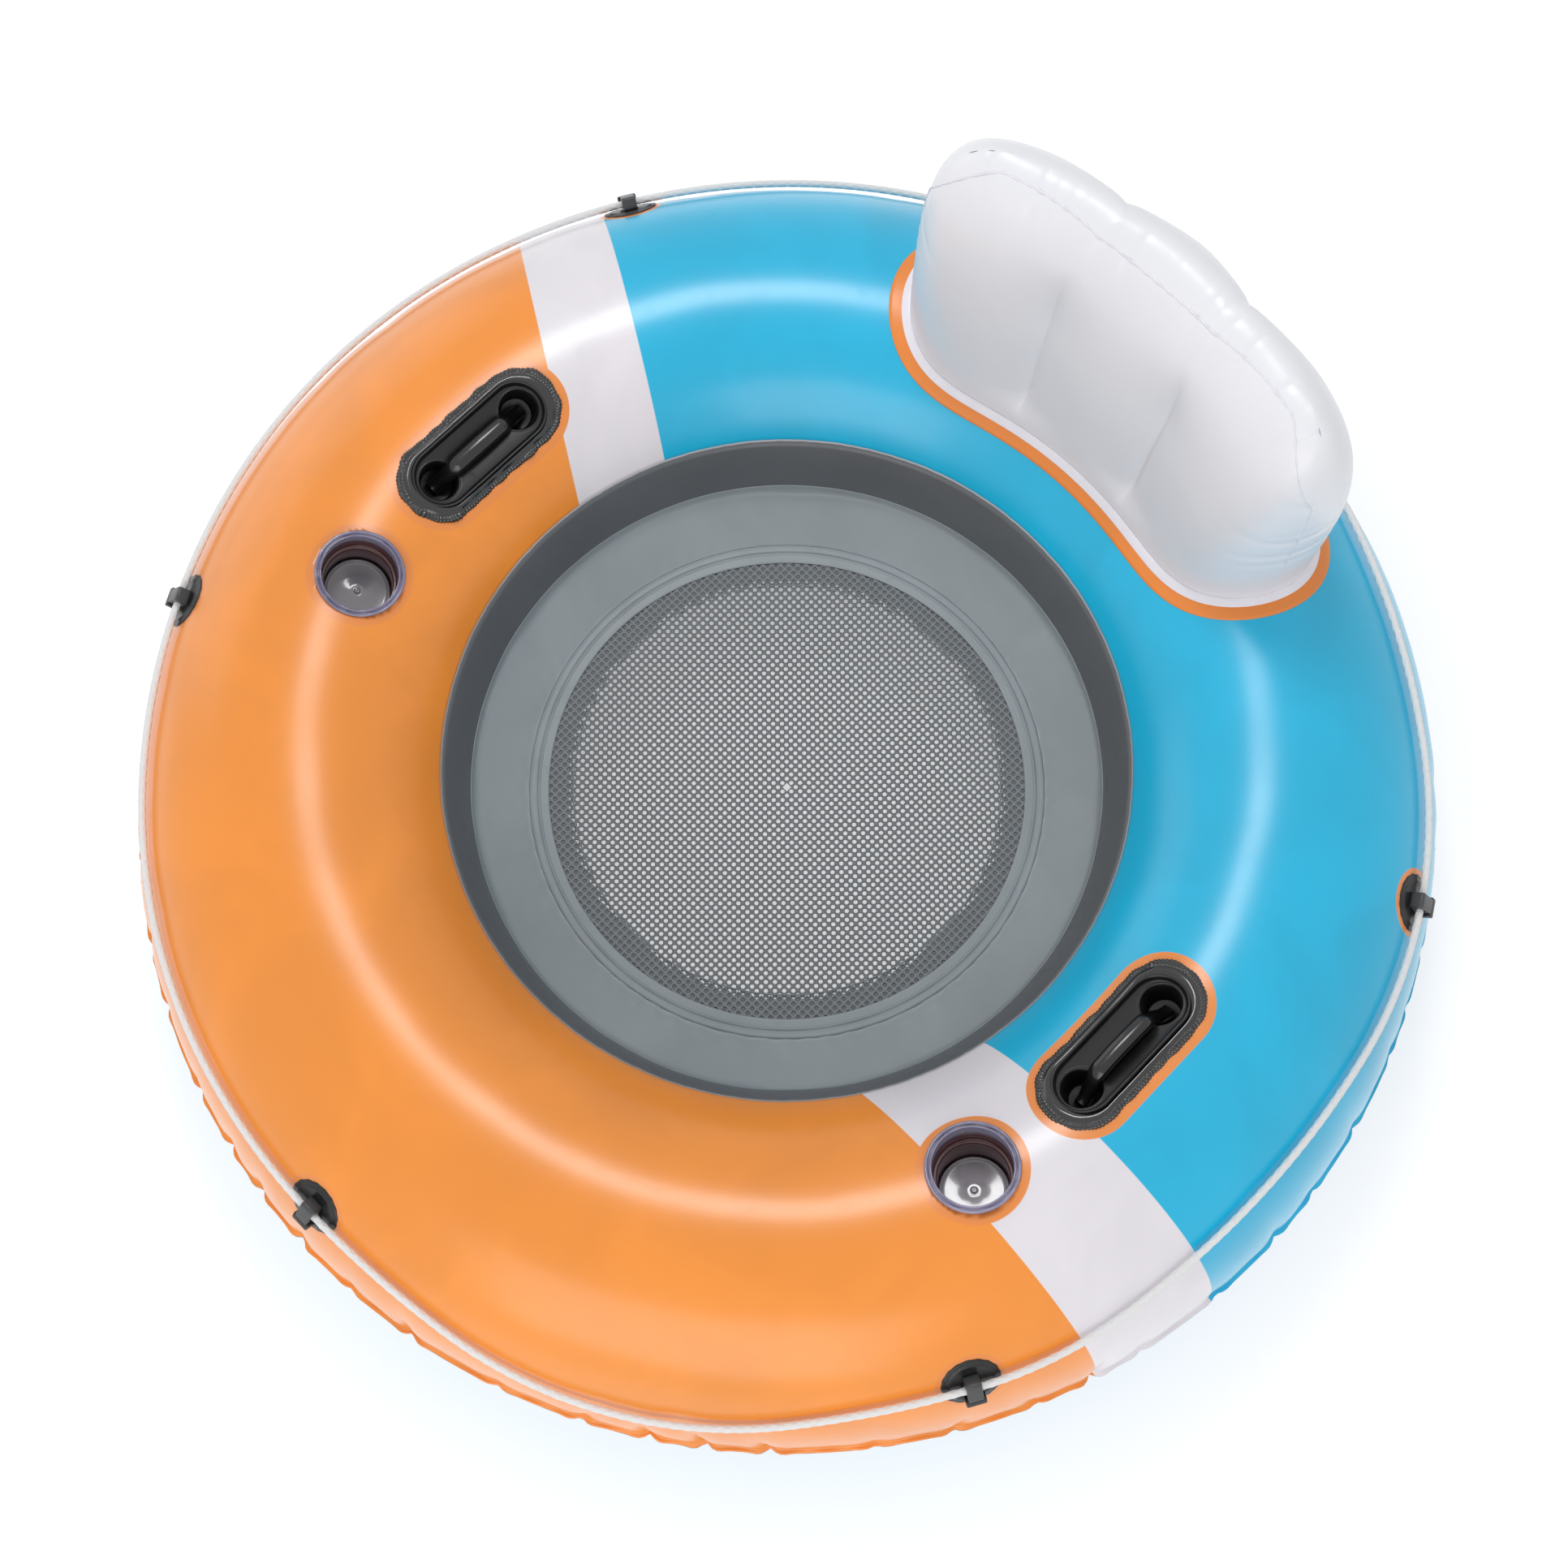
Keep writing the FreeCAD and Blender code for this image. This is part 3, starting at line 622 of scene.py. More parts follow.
@dataclass(frozen=True)
class StripeEdge:
    """A straight print edge seen from above, with its far side to the left of its run."""

    start: tuple[float, float]
    end: tuple[float, float]

    def towards(self) -> tuple[float, float, float]:
        """Unit direction that points over the edge, to +Y."""
        x, y = self.end[0] - self.start[0], self.end[1] - self.start[1]
        long = math.hypot(x, y)
        flip = 1.0 if x > 0 else -1.0
        return (-y / long * flip, x / long * flip, 0.0)


@dataclass(frozen=True)
class PrintedTop(Vinyl):
    """The ring's upper film: two colours, pale stripes and rings round what is welded on."""

    pale: Colour = srgb(236, 232, 238)
    blue: Colour = srgb(0, 186, 230)
    accent: Colour = srgb(244, 146, 66)
    left_stripe: tuple[StripeEdge, StripeEdge] = (
        StripeEdge((-0.592, 0.195), (-0.349, 0.043)), StripeEdge((-0.580, 0.299), (-0.321, 0.142)))
    right_stripe: tuple[StripeEdge, StripeEdge] = (
        StripeEdge((0.294, -0.195), (0.620, -0.221)), StripeEdge((0.344, -0.075), (0.668, -0.090)))

    def stripe(self, tree: Tree, position: bpy.types.NodeSocket,
               edges: tuple[StripeEdge, StripeEdge]) -> bpy.types.NodeSocket:
        """Colour on one half of the ring, from one side of its stripe to the other."""
        masks = []
        for edge in edges:
            placed = tree.group(ShaderGroups.get(Effect.HALF_PLANE), Position=position,
                                Spot=(*edge.start, 0.0), Towards=edge.towards())
            masks.append(placed.outputs["Mask"])
        return tree.mix(masks[1], tree.mix(masks[0], self.colour, self.pale), self.blue)

    def tint(self, tree: Tree, position: bpy.types.NodeSocket) -> object:
        """Stripes, then the rings round lugs, cup holders and handles, then the seam's thin line."""
        parts = tree.add("ShaderNodeSeparateXYZ")
        tree.join(position, parts.inputs[0])
        x, y, z = parts.outputs
        right = tree.math("GREATER_THAN", x, 0.0)
        colour = tree.mix(right, self.stripe(tree, position, self.left_stripe),
                          self.stripe(tree, position, self.right_stripe))
        folded = tree.add("ShaderNodeCombineXYZ")
        for value, socket in zip((tree.math("ABSOLUTE", x), y, z), folded.inputs):
            tree.join(value, socket)
        handle, cup = RING.placement(0.0, 111.0).spot, RING.placement(-23.5, 105.0).spot
        rings = [tree.group(ShaderGroups.get(Effect.PRINT_RING), Position=folded.outputs[0],
                            Spot=tuple(spot), Half_Run=run, Radius=radius).outputs["Mask"]
                 for spot, run, radius in ((handle, 0.055, 0.0525), (cup, 0.0, 0.0535))]
        turn = tree.math("ARCTAN2", y, x)
        sixth = math.pi / 3
        local = tree.math("SUBTRACT", tree.math("FLOORED_MODULO", turn, sixth), sixth / 2)
        reach = tree.math("SQRT", tree.math("ADD", tree.math("MULTIPLY", x, x), tree.math("MULTIPLY", y, y)))
        lug = RING.placement(0.0, 38.0).spot
        spot = tree.add("ShaderNodeCombineXYZ")
        for value, socket in zip((tree.math("MULTIPLY", reach, tree.math("COSINE", local)),
                                  tree.math("MULTIPLY", reach, tree.math("SINE", local)), z), spot.inputs):
            tree.join(value, socket)
        rings.append(tree.group(ShaderGroups.get(Effect.PRINT_RING), Position=spot.outputs[0],
                                Spot=tuple(lug), Radius=0.0345).outputs["Mask"])
        for mask in rings:
            colour = tree.mix(mask, colour, self.accent)
        inner = tree.math("LESS_THAN", reach, 0.45)
        low = tree.smooth(z, 0.2545, 0.2550, 1.0, 0.0)
        colour = tree.mix(tree.math("MULTIPLY", inner, low), colour, self.pale)
        return colour


@dataclass(frozen=True)
class Knit(Finish):
    """Yarn of a net or a rope."""

    name: str
    colour: Colour
    # Darker colour painted into the yarn's hollows as shade.
    hollow_shade: Colour
    scale: float = 1500.0
    roughness: float = 0.62
    sheen: float = 0.2
    bump_depth: float = 0.0003

    def dress(self, tree: Tree, shader: bpy.types.Node, position: bpy.types.NodeSocket) -> None:
        """Yarn colour with painted shade in its hollows, rib relief and a little sheen."""
        yarn = tree.group(ShaderGroups.get(Effect.YARN), Position=position, Scale=self.scale)
        # Painted shade: where the rib relief is low, the yarn takes its darker hollow colour.
        mask = tree.smooth(yarn.outputs["Height"], 0.15, 0.55)
        colour = tree.mix(mask, self.hollow_shade, self.colour)
        tree.join(colour, shader.inputs["Base Color"])
        rough = tree.math("MULTIPLY_ADD", yarn.outputs["Shade"], 0.2, self.roughness - 0.1)
        tree.join(rough, shader.inputs["Roughness"])
        shader.inputs["Sheen Weight"].default_value = self.sheen
        bump = tree.add("ShaderNodeBump")
        bump.inputs["Strength"].default_value = 0.6
        bump.inputs["Distance"].default_value = self.bump_depth
        tree.join(yarn.outputs["Height"], bump.inputs["Height"])
        tree.join(bump.outputs[0], shader.inputs["Normal"])


ORANGE = srgb(251, 151, 50)
PRINTED = PrintedTop("printed vinyl film", ORANGE, roughness=0.30, coat=0.5, coat_roughness=0.22, dull=0.06,
                     bump=0.14, specular=0.4)
UNDERSIDE = Vinyl("blue underside film", srgb(20, 140, 184), roughness=0.34)
# Painted shade: the wall is the floor film's grey, set darker for the shade on the inner wall.
WALL = Vinyl("grey wall film with painted shade", srgb(92, 96, 100), roughness=0.42, coat=0.1)
FLOOR = Vinyl("grey floor film", srgb(144, 153, 158), roughness=0.45, coat=0.08, crinkle=0.5,
              crinkle_scale=9.0)
PILLOW = Vinyl("white pillow film", srgb(238, 239, 244), roughness=0.34, coat=0.15, crinkle=0.3,
               crinkle_scale=11.0, bump=0.25, bump_depth=0.0006, shade=0.03)
SEAM = Vinyl("welded white seam", srgb(240, 238, 246), roughness=0.28, coat=0.3, grain=400.0, bump=0.3,
             shade=0.05)
BORDER = Vinyl("orange weld border", srgb(242, 140, 56), roughness=0.34, coat=0.15)
BLACK = Vinyl("black moulded vinyl", srgb(20, 20, 22), roughness=0.34, coat=0.12, coat_roughness=0.15,
              grain=1400.0, bump=0.7, shade=0.3, dull=0.2, specular=0.4)
CRIMPED = Vinyl("black crimped vinyl", srgb(12, 12, 13), roughness=0.2, coat=0.8, coat_roughness=0.08,
                grain=500.0, bump=0.6, bump_depth=0.0006, shade=0.3, dull=0.1, specular=0.4)
GRIP = Vinyl("black grip vinyl", srgb(18, 18, 20), roughness=0.2, coat=0.4, coat_roughness=0.08, bump=0.1,
             shade=0.2, specular=0.4)
STRAP = Vinyl("dark grey strap vinyl", srgb(52, 54, 56), roughness=0.42, grain=1600.0, bump=0.5)
CUP_RIM = Vinyl("clear lilac rim", srgb(136, 130, 160), roughness=0.12, coat=0.8, coat_roughness=0.06,
                shade=0.35)
# Painted shade: the dark red-brown stands for the shaded inside of the orange chamber seen through the clear
# cup.
CUP_WALL = Vinyl("cup wall with painted chamber shade", srgb(92, 26, 30), roughness=0.16, coat=0.5,
                 coat_roughness=0.08, shade=0.4, bump=0.3, bump_depth=0.001)
CUP_BASE = Vinyl("cup base over the dark chamber", srgb(188, 184, 192), roughness=0.12, coat=0.6,
                 coat_roughness=0.06, shade=0.35)
VALVE = Vinyl("milky valve vinyl", srgb(222, 224, 230), roughness=0.28, coat=0.3, coat_roughness=0.12)
# One grey yarn in two tones: the net's is painted darker as shade from the pillow and wall, the doubled hem's
# painted lighter as if lit from above.
MESH = Knit("grey mesh yarn with painted shade", srgb(126, 130, 134), srgb(74, 78, 82))
HEM = Knit("doubled mesh yarn with painted light", srgb(138, 144, 148), srgb(80, 84, 88))
ROPE = Knit("white rope yarn", srgb(252, 252, 252), srgb(222, 224, 228), scale=2200.0, roughness=0.5,
            sheen=0.1)


# Sub-assemblies


def settle(piece: bpy.types.Object, nodes: Sequence[str] = (),
           body: str = "tube") -> bpy.types.Object:
    """Puts a piece on its body, in place of its nodes.

    Args:
        piece: the finished piece.
        nodes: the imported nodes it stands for.
        body: the body it rides on.

    Returns:
        The same piece.
    """
    if nodes:
        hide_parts(*nodes)
    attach(piece, body)
    log.info("%s on %s, %d points, for %s", piece.name, body, len(piece.data.vertices),
             ", ".join(nodes) or "no node")
    return piece


@dataclass
class AirChamber:
    """The ring's upper and lower films, its wall film, and the puckered outer weld."""

    columns: int = 900
    upper_rows: int = 92
    lower_rows: int = 64
    wall_rows: int = 22
    seam_phi: float = 152.0
    film: float = 0.0012
    flange: float = 0.005
    folds: int = 56
    fold_depth: float = 0.0052
    fold_reach: float = 0.040
    weld_ripple: float = 0.0011
    seam_ripple: float = 0.00006
    slow_swell: float = 0.00010
    seed: int = 11
    cutouts: list[Cutout] = field(default_factory=list)

    def fold_table(self) -> Array:
        """Place along the outer seam, depth, reach and slant of each fold."""
        rng = np.random.default_rng(self.seed)
        widths = rng.uniform(0.7, 1.3, self.folds)
        places = np.cumsum(widths) / widths.sum() * self.seam_length()
        depths = self.fold_depth * rng.uniform(0.35, 1.25, self.folds)
        reaches = self.fold_reach * rng.uniform(0.5, 1.6, self.folds)
        slants = rng.uniform(-0.35, 0.35, self.folds)
        return np.stack([places, depths, reaches, slants], -1)

    def seam_length(self) -> float:
        """Length of the outer seam."""
        return 2 * math.pi * (RING.ring_radius + RING.radius)

    def relief(self, azimuth: Array, phi: Array) -> Array:
        """How far the film stands out of the round section.

        Args:
            azimuth: degrees, one row.
            phi: degrees, one column.

        Returns:
            Heights in metres, negative in the folds.
        """
        arc = np.radians(np.minimum(phi, 360.0 - phi)) * RING.radius
        place = np.mod(azimuth, 360.0) / 360.0 * self.seam_length()
        total = np.zeros(np.broadcast(azimuth, phi).shape)
        for spot, depth, reach, slant in self.fold_table():
            half = self.seam_length() / 2
            gap = np.abs(np.mod(place - spot - slant * arc + half, 2 * half) - half)
            width = 0.0042 + 0.16 * arc
            total -= depth * np.exp(-(gap / width) ** 1.5) * np.exp(-(arc / reach) ** 1.2)
            shoulder = np.exp(-((gap - 2.6 * width) / (1.6 * width)) ** 2)
            total += 0.25 * depth * shoulder * np.exp(-(arc / reach) ** 1.5)
        rng = np.random.default_rng(self.seed + 1)
        from_seam = np.minimum(np.abs(phi - self.seam_phi), np.abs(phi - 360 + self.seam_phi))
        inner = np.radians(from_seam) * RING.radius
        for wave in (47, 71, 113, 160):
            ripple = np.sin(np.radians(azimuth) * wave + rng.uniform(0, 6.3))
            total += self.seam_ripple * ripple * np.exp(-inner / 0.012)
        for wave_a, wave_p in ((5, 3), (9, 2), (14, 5), (23, 4)):
            swell = np.radians(azimuth) * wave_a + np.radians(phi) * wave_p + rng.uniform(0, 6.3)
            total += self.slow_swell * np.sin(swell)
        return total

    def skin(self, name: str, phi: Array, finish: Finish, side: int) -> bpy.types.Object:
        """One film of the ring.

        Args:
            name: the piece's name.
            phi: angles of its rows.
            finish: what it is dressed in.
            side: 1 for the upper film, -1 for the lower, 0 for the wall.

        Returns:
            The film, with its thickness.
        """
        azimuth = np.linspace(0.0, 360.0, self.columns, endpoint=False)[None, :]
        points = RING.point(azimuth, phi[:, None], self.relief(azimuth, phi[:, None]))
        if side:
            seam = points[0] if side > 0 else points[-1]
            turn = np.radians(azimuth[0])
            rows = []
            ripple = self.weld_ripple * np.sin(turn * 83 + 2.1 * np.sin(turn * 17))
            for out, wave in ((self.flange, 1.0), (self.flange * 0.5, 0.6), (0.0004, 0.0)):
                level = RING.radius + side * self.film + ripple * wave
                rho = np.hypot(seam[:, 0], seam[:, 1]) + out
                rows.append(np.stack([rho * np.cos(turn), rho * np.sin(turn), level], -1))
            rim = np.array(rows)
            if side > 0:
                points = np.concatenate([rim, points[1:]])
            else:
                points = np.concatenate([points[:-1], rim[::-1]])
        outside = np.ones(points.shape[:2])
        for cutout in self.cutouts if side > 0 else []:
            outside = np.minimum(outside, cutout.apply(points, 0.0026))
        points[..., 2] = np.maximum(points[..., 2], 0.0)
        faces = grid_faces(points.shape[0], self.columns, False, True)
        keep = outside.ravel()[faces].max(1) > 1e-6
        piece = mesh_piece(name, points, faces[keep], finish)
        solidify(piece, self.film)
        return piece

    def build(self) -> None:
        """Makes the three films."""
        upper = 1.0 + (self.seam_phi - 1.0) * np.linspace(0.0, 1.0, self.upper_rows) ** 1.25
        settle(self.skin("ring_upper_film", upper, PRINTED, 1), ["top_panel"])
        lower = 360.0 - (1.0 + (self.seam_phi - 1.0) * np.linspace(0.0, 1.0, self.lower_rows) ** 1.35)[::-1]
        settle(self.skin("ring_lower_film", lower, UNDERSIDE, -1), ["bottom_panel"])
        wall = np.linspace(self.seam_phi - 0.1, 360.1 - self.seam_phi, self.wall_rows)
        settle(self.skin("ring_wall_film", wall, WALL, 0), ["inner_wall_panel"])


@dataclass
class SeatFloor:
    """Floor film, its double weld bead, the folded hem and the net seat."""

    flat_z: float = 0.1532
    weld_inner: float = 0.2615
    weld_outer: float = 0.2745
    hem_inner: float = 0.2275
    hem_z: float = 0.1514
    net_z: float = 0.1500
    net_sag: float = 0.010
    pitch: float = 0.0067
    hole: float = 0.0023
    yarn: float = 0.0007
    knot: float = 0.0005
    same_spot: float = 0.00005
    columns: int = 720

    def build_film(self) -> None:
        """Floor film that slopes from the wall to the seat's opening."""
        line = resample([(0.3309, 0.1850), (0.3302, 0.1790), (0.3286, 0.1748), (0.3250, 0.1722),
                         (0.3000, 0.1630), (0.2820, 0.1562), (0.2765, 0.1538), (0.2740, 0.1533),
                         (0.2530, self.flat_z)], 46)
        azimuth = np.radians(np.linspace(0, 360, self.columns, endpoint=False))[None, :]
        rho, z = line[:, 0:1], line[:, 1:2]
        share = np.clip((rho - 0.276) / 0.05, 0, 1) * np.clip((0.3315 - rho) / 0.006, 0, 1)
        wave = sum(a * np.sin(azimuth * n + p + rho * 40) for a, n, p in (
            (0.0011, 7, 0.4), (0.0007, 12, 2.0), (0.0005, 19, 4.1), (0.0003, 31, 1.2)))
        near = np.exp(-((rho - 0.2795) / 0.006) ** 2) * 0.0005
        crimp = np.sin(azimuth * 67 + 2 * np.sin(azimuth * 9))
        z = z + wave * share + near * crimp
        points = np.stack([rho * np.cos(azimuth), rho * np.sin(azimuth), z + 0 * azimuth], -1)
        piece = mesh_piece("floor_film", points, grid_faces(len(line), self.columns, False, True), FLOOR)
        solidify(piece, 0.0012)
        settle(piece, ["floor_panel"])

    def build_bead(self) -> None:
        """Double weld bead with its crimped pattern."""
        rho = np.linspace(self.weld_inner, self.weld_outer, 25)[:, None]
        azimuth = np.radians(np.linspace(0, 360, 1440, endpoint=False))[None, :]
        middle = (self.weld_inner + self.weld_outer) / 2
        ridge = sum(np.exp(-((rho - middle - s * 0.0042) / 0.0012) ** 2) for s in (-1, 1))
        crimp = 1 + 0.18 * np.sin(azimuth * 330) + 0.2 * np.sin(azimuth * 23 + 1)
        edge = np.clip((np.abs(rho - middle) - 0.0058) / 0.0007, 0, 1)
        z = self.flat_z + 0.0004 + 0.0012 * ridge * crimp - 0.0006 * edge
        points = np.stack([rho * np.cos(azimuth), rho * np.sin(azimuth), z + 0 * azimuth], -1)
        piece = mesh_piece("floor_weld_bead", points[::-1], grid_faces(25, 1440, False, True), FLOOR)
        solidify(piece, 0.0004)
        settle(piece, ["floor_weld_ring"])

    def net(self, name: str, inner: float, outer: float, shift: float, finish: Finish,
            height: Callable[[Array], Array]) -> tuple[bpy.types.Object, float]:
        """Net with round-cornered square gaps.

        Args:
            name: the piece's name.
            inner: radius of its opening, or 0.
            outer: outer radius.
            shift: how far its lattice is moved both ways.
            finish: what it is dressed in.
            height: height at each radius.

        Returns:
            The net and the area of its cloth.
        """
        count = int(outer / self.pitch) + 2
        line = np.arange(-count, count + 1) * self.pitch + shift
        centres = np.stack(np.meshgrid(line, line), -1).reshape(-1, 2)
        far = np.hypot(*centres.T)
        centres = centres[(far < outer - self.pitch * 0.7) & (far > inner)]
        angle = np.arange(8) * math.pi / 4
        ray = np.stack([np.cos(angle), np.sin(angle)], -1)
        crossing = np.arange(8) % 2 == 1
        half = np.where(crossing, self.pitch / math.sqrt(2), self.pitch / 2)
        corners = centres[:, None] + ray * half[:, None]
        holes = centres[:, None] + ray * self.hole
        flat = np.concatenate([corners.reshape(-1, 2), holes.reshape(-1, 2)])
        knots = np.concatenate([np.tile(crossing, len(centres)), np.zeros(len(centres) * 8, bool)])
        _, first, same = np.unique(np.round(flat / self.same_spot).astype(int), axis=0,
                                   return_index=True, return_inverse=True)
        cells = len(centres)
        k = np.arange(cells * 8).reshape(cells, 8)
        following = np.roll(k, -1, 1)
        quads = np.stack([k, following, following + cells * 8, k + cells * 8], -1).reshape(-1, 4)
        faces = same.ravel()[quads]
        flat, knots = flat[first], knots[first]
        level = height(np.hypot(*flat.T)) + self.knot * knots
        piece = mesh_piece(name, np.concatenate([flat, level[:, None]], 1), faces, finish)
        solidify(piece, self.yarn)
        return piece, cells * (self.pitch ** 2 - 2 * math.sqrt(2) * self.hole ** 2)

    def build_seat(self) -> None:
        """Net seat with its folded hem and the rolled edge of the fold."""
        hem, _ = self.net("seat_hem", self.hem_inner + 0.003, self.weld_outer, self.pitch / 2, HEM,
                          lambda rho: self.hem_z + 0 * rho)
        settle(hem, ["mesh_hem"])
        azimuth = np.radians(np.linspace(0, 360, 720, endpoint=False))
        level = self.hem_z - 0.0004 + 0 * azimuth
        ring = np.stack([self.hem_inner * np.cos(azimuth), self.hem_inner * np.sin(azimuth), level], -1)
        roll = settle(tube_along("hem_fold", ring, 0.0009, 8, HEM, True))

        def sagging(rho: Array) -> Array:
            """Height of the net, a little slack in its middle."""
            return self.net_z - self.net_sag * np.clip(1 - (rho / self.hem_inner) ** 2, 0, 1)

        seat, area = self.net("seat_net", 0.0, self.weld_outer, 0.0, MESH, sagging)
        settle(seat, ["seat_mesh"])

    def build(self) -> None:
        """Makes the floor and the seat."""
        self.build_film()
        self.build_bead()
        self.build_seat()


@dataclass
class Backrest:
    """The pillow with its seam, and the border it is welded on by."""

    azimuth: float = 90.0
    half: float = 29.3
    root_z: float = 0.258
    top_z: float = 0.612
    front: float = 0.408
    rear: float = 0.588
    side: float = 0.498
    lean: float = 0.021
    taper: float = 0.010
    top_rho: float = 0.512
    ridge_dip: float = 0.005
    front_crease: float = 0.017
    rear_crease: float = 0.024
    side_crown: float = 8.5
    weld: float = 0.0082
    border: float = 0.0215
    columns: int = 300
    rows: int = 90
    bottom_rows: int = 10
    pucker_step: float = 0.019
    pucker_depth: float = 0.0017
    seed: int = 5
    valve_y: float = 0.569134
    valve_z: float = 0.469921
    valve_tilt: float = 4.522
    valve_hole: float = 0.0165
    valve_dip: float = 0.080

    def crown(self, level: Array) -> Array:
        """How far the pillow has closed towards its top, from 0 to 1."""
        return 1.0 - np.sqrt(np.clip(1.0 - level ** 5, 0.0, 1.0))

    def spot(self, share: Array, level: Array, sheet: int) -> Array:
        """Point of the pillow's surface.

        Args:
            share: place across the pillow, from -1 to 1.
            level: height, from 0 at the root to 1 at the top.
            sheet: 1 for the front sheet, -1 for the rear one.

        Returns:
            The points in the row frame.
        """
        crown = self.crown(level)
        close = crown ** 0.85
        z = self.root_z + (self.top_z - self.root_z) * level
        corner = 6.0 + 3.0 * smooth_step(z, 0.34, 0.50)
        rounding = np.sqrt(np.clip(1.0 - np.abs(share) ** corner, 0.0, 1.0))
        lobe = np.abs(np.abs(share) - 1.0 / 3.0)
        inside = 1.0 - np.clip(lobe * 3.0, 0.0, 1.0)
        valley = (0.6 * inside ** 1.7 + 0.4 * np.exp(-(lobe / 0.032) ** 1.3)) * rounding
        top = self.top_rho - self.ridge_dip * valley
        middle = self.side + (top - self.side) * close
        base = self.front + self.lean * level if sheet > 0 else self.rear - self.taper * level
        face = base + (top - base) * close
        if sheet > 0:
            depth = self.front_crease * smooth_step(1.0 - level, 0.11, 0.36)
        else:
            depth = self.rear_crease * smooth_step(1.0 - level, 0.0, 0.10)
        rho = middle + (face - middle) * rounding + sheet * depth * valley * smooth_step(z, 0.330, 0.364)
        turn = np.radians(self.azimuth + (self.half - self.side_crown * crown ** 1.3) * share)
        return np.stack([rho * np.cos(turn), rho * np.sin(turn), z + 0 * rho], -1)

    def seam_level(self, share: Array) -> Array:
        """Level of the weld over the top of the front sheet."""
        return 0.962 + 0.022 * smooth_step(np.abs(share), 0.0, 0.8)

    def root_level(self, share: Array, sheet: int) -> Array:
        """Level at which a sheet meets the ring."""
        level = np.full(share.shape, 0.2)
        for _ in range(12):
            point = self.spot(share, level, sheet)
            rho = np.hypot(point[..., 0], point[..., 1]) - RING.ring_radius
            z = RING.radius + np.sqrt(np.clip((RING.radius + 0.0014) ** 2 - rho ** 2, 0, 1))
            level = (z - self.root_z) / (self.top_z - self.root_z)
        return level

    def foot(self, count: int = 480) -> Array:
        """Closed line in which the pillow meets the ring, in even steps."""
        share = np.sin(np.linspace(-0.5, 0.5, 400) * math.pi)
        front = self.spot(share, self.root_level(share, 1), 1)
        rear = self.spot(share[::-1], self.root_level(share[::-1], -1), -1)
        loop = np.concatenate([front, rear[1:]])
        run = np.concatenate([[0.0], np.cumsum(np.linalg.norm(np.diff(loop, axis=0), axis=1))])
        spots = np.arange(count) / count * run[-1]
        return np.stack([np.interp(spots, run, loop[:, k]) for k in range(3)], -1)

    def beside(self, loop: Array, out: float, offset: Array | float) -> Array:
        """A closed line moved outwards along the ring's skin.

        Args:
            loop: the line's points.
            out: how far it moves.
            offset: its height above the skin.

        Returns:
            The moved points.
        """
        tangent = np.roll(loop, -3, 0) - np.roll(loop, 3, 0)
        turn = np.arctan2(loop[:, 1], loop[:, 0])
        centre = np.stack([RING.ring_radius * np.cos(turn), RING.ring_radius * np.sin(turn),
                           RING.radius + 0 * turn], -1)
        away = np.cross(loop - centre, tangent)
        away /= np.linalg.norm(away, axis=1, keepdims=True)
        return RING.drape(loop + away * out, offset)

    def puckers(self, points: Array, normals: Array, run: Array, gap: Array) -> Array:
        """Small folds that leave the seam.

        Args:
            points: points of the pillow.
            normals: their normals.
            run: distance along the seam.
            gap: distance from the seam.

        Returns:
            The folded points.
        """
        rng = np.random.default_rng(self.seed)
        total = np.zeros(run.shape)
        for spot in np.arange(0.0, float(run.max()), self.pucker_step):
            place = spot + rng.uniform(-0.012, 0.012)
            depth = self.pucker_depth * rng.uniform(0.1, 1.0) ** 2
            reach = rng.uniform(0.006, 0.030)
            slant = rng.uniform(-0.5, 0.5)
            width = 0.0028 + 0.14 * gap
            across = np.exp(-(np.abs(run - place - slant * gap) / width) ** 1.6)
            total -= depth * across * np.exp(-(gap / reach) ** 1.2)
        return points + normals * total[..., None]

    def valve_seat(self) -> Placement:
        """Frame of the valve's flange on the middle lobe of the rear sheet, Z outwards."""
        tilt = math.radians(self.valve_tilt)
        normal = np.array([0.0, math.cos(tilt), math.sin(tilt)])
        along = np.array([-1.0, 0.0, 0.0])
        return Placement(np.array([0.0, self.valve_y, self.valve_z]), along, np.cross(normal, along), normal)

    def draw_in(self, points: Array) -> Array:
        """Rear sheet drawn in to the seat of its valve.

        Args:
            points: points of the pillow.

        Returns:
            The points, flat under the valve and unchanged away from it.
        """
        seat = self.valve_seat()
        local = seat.local(points)
        reach = np.hypot(local[..., 0], local[..., 1])
        share = (1.0 - smooth_step(reach, 0.024, self.valve_dip)) * (np.abs(local[..., 2]) < 0.06)
        return points + (share * (0.0006 - local[..., 2]))[..., None] * seat.normal

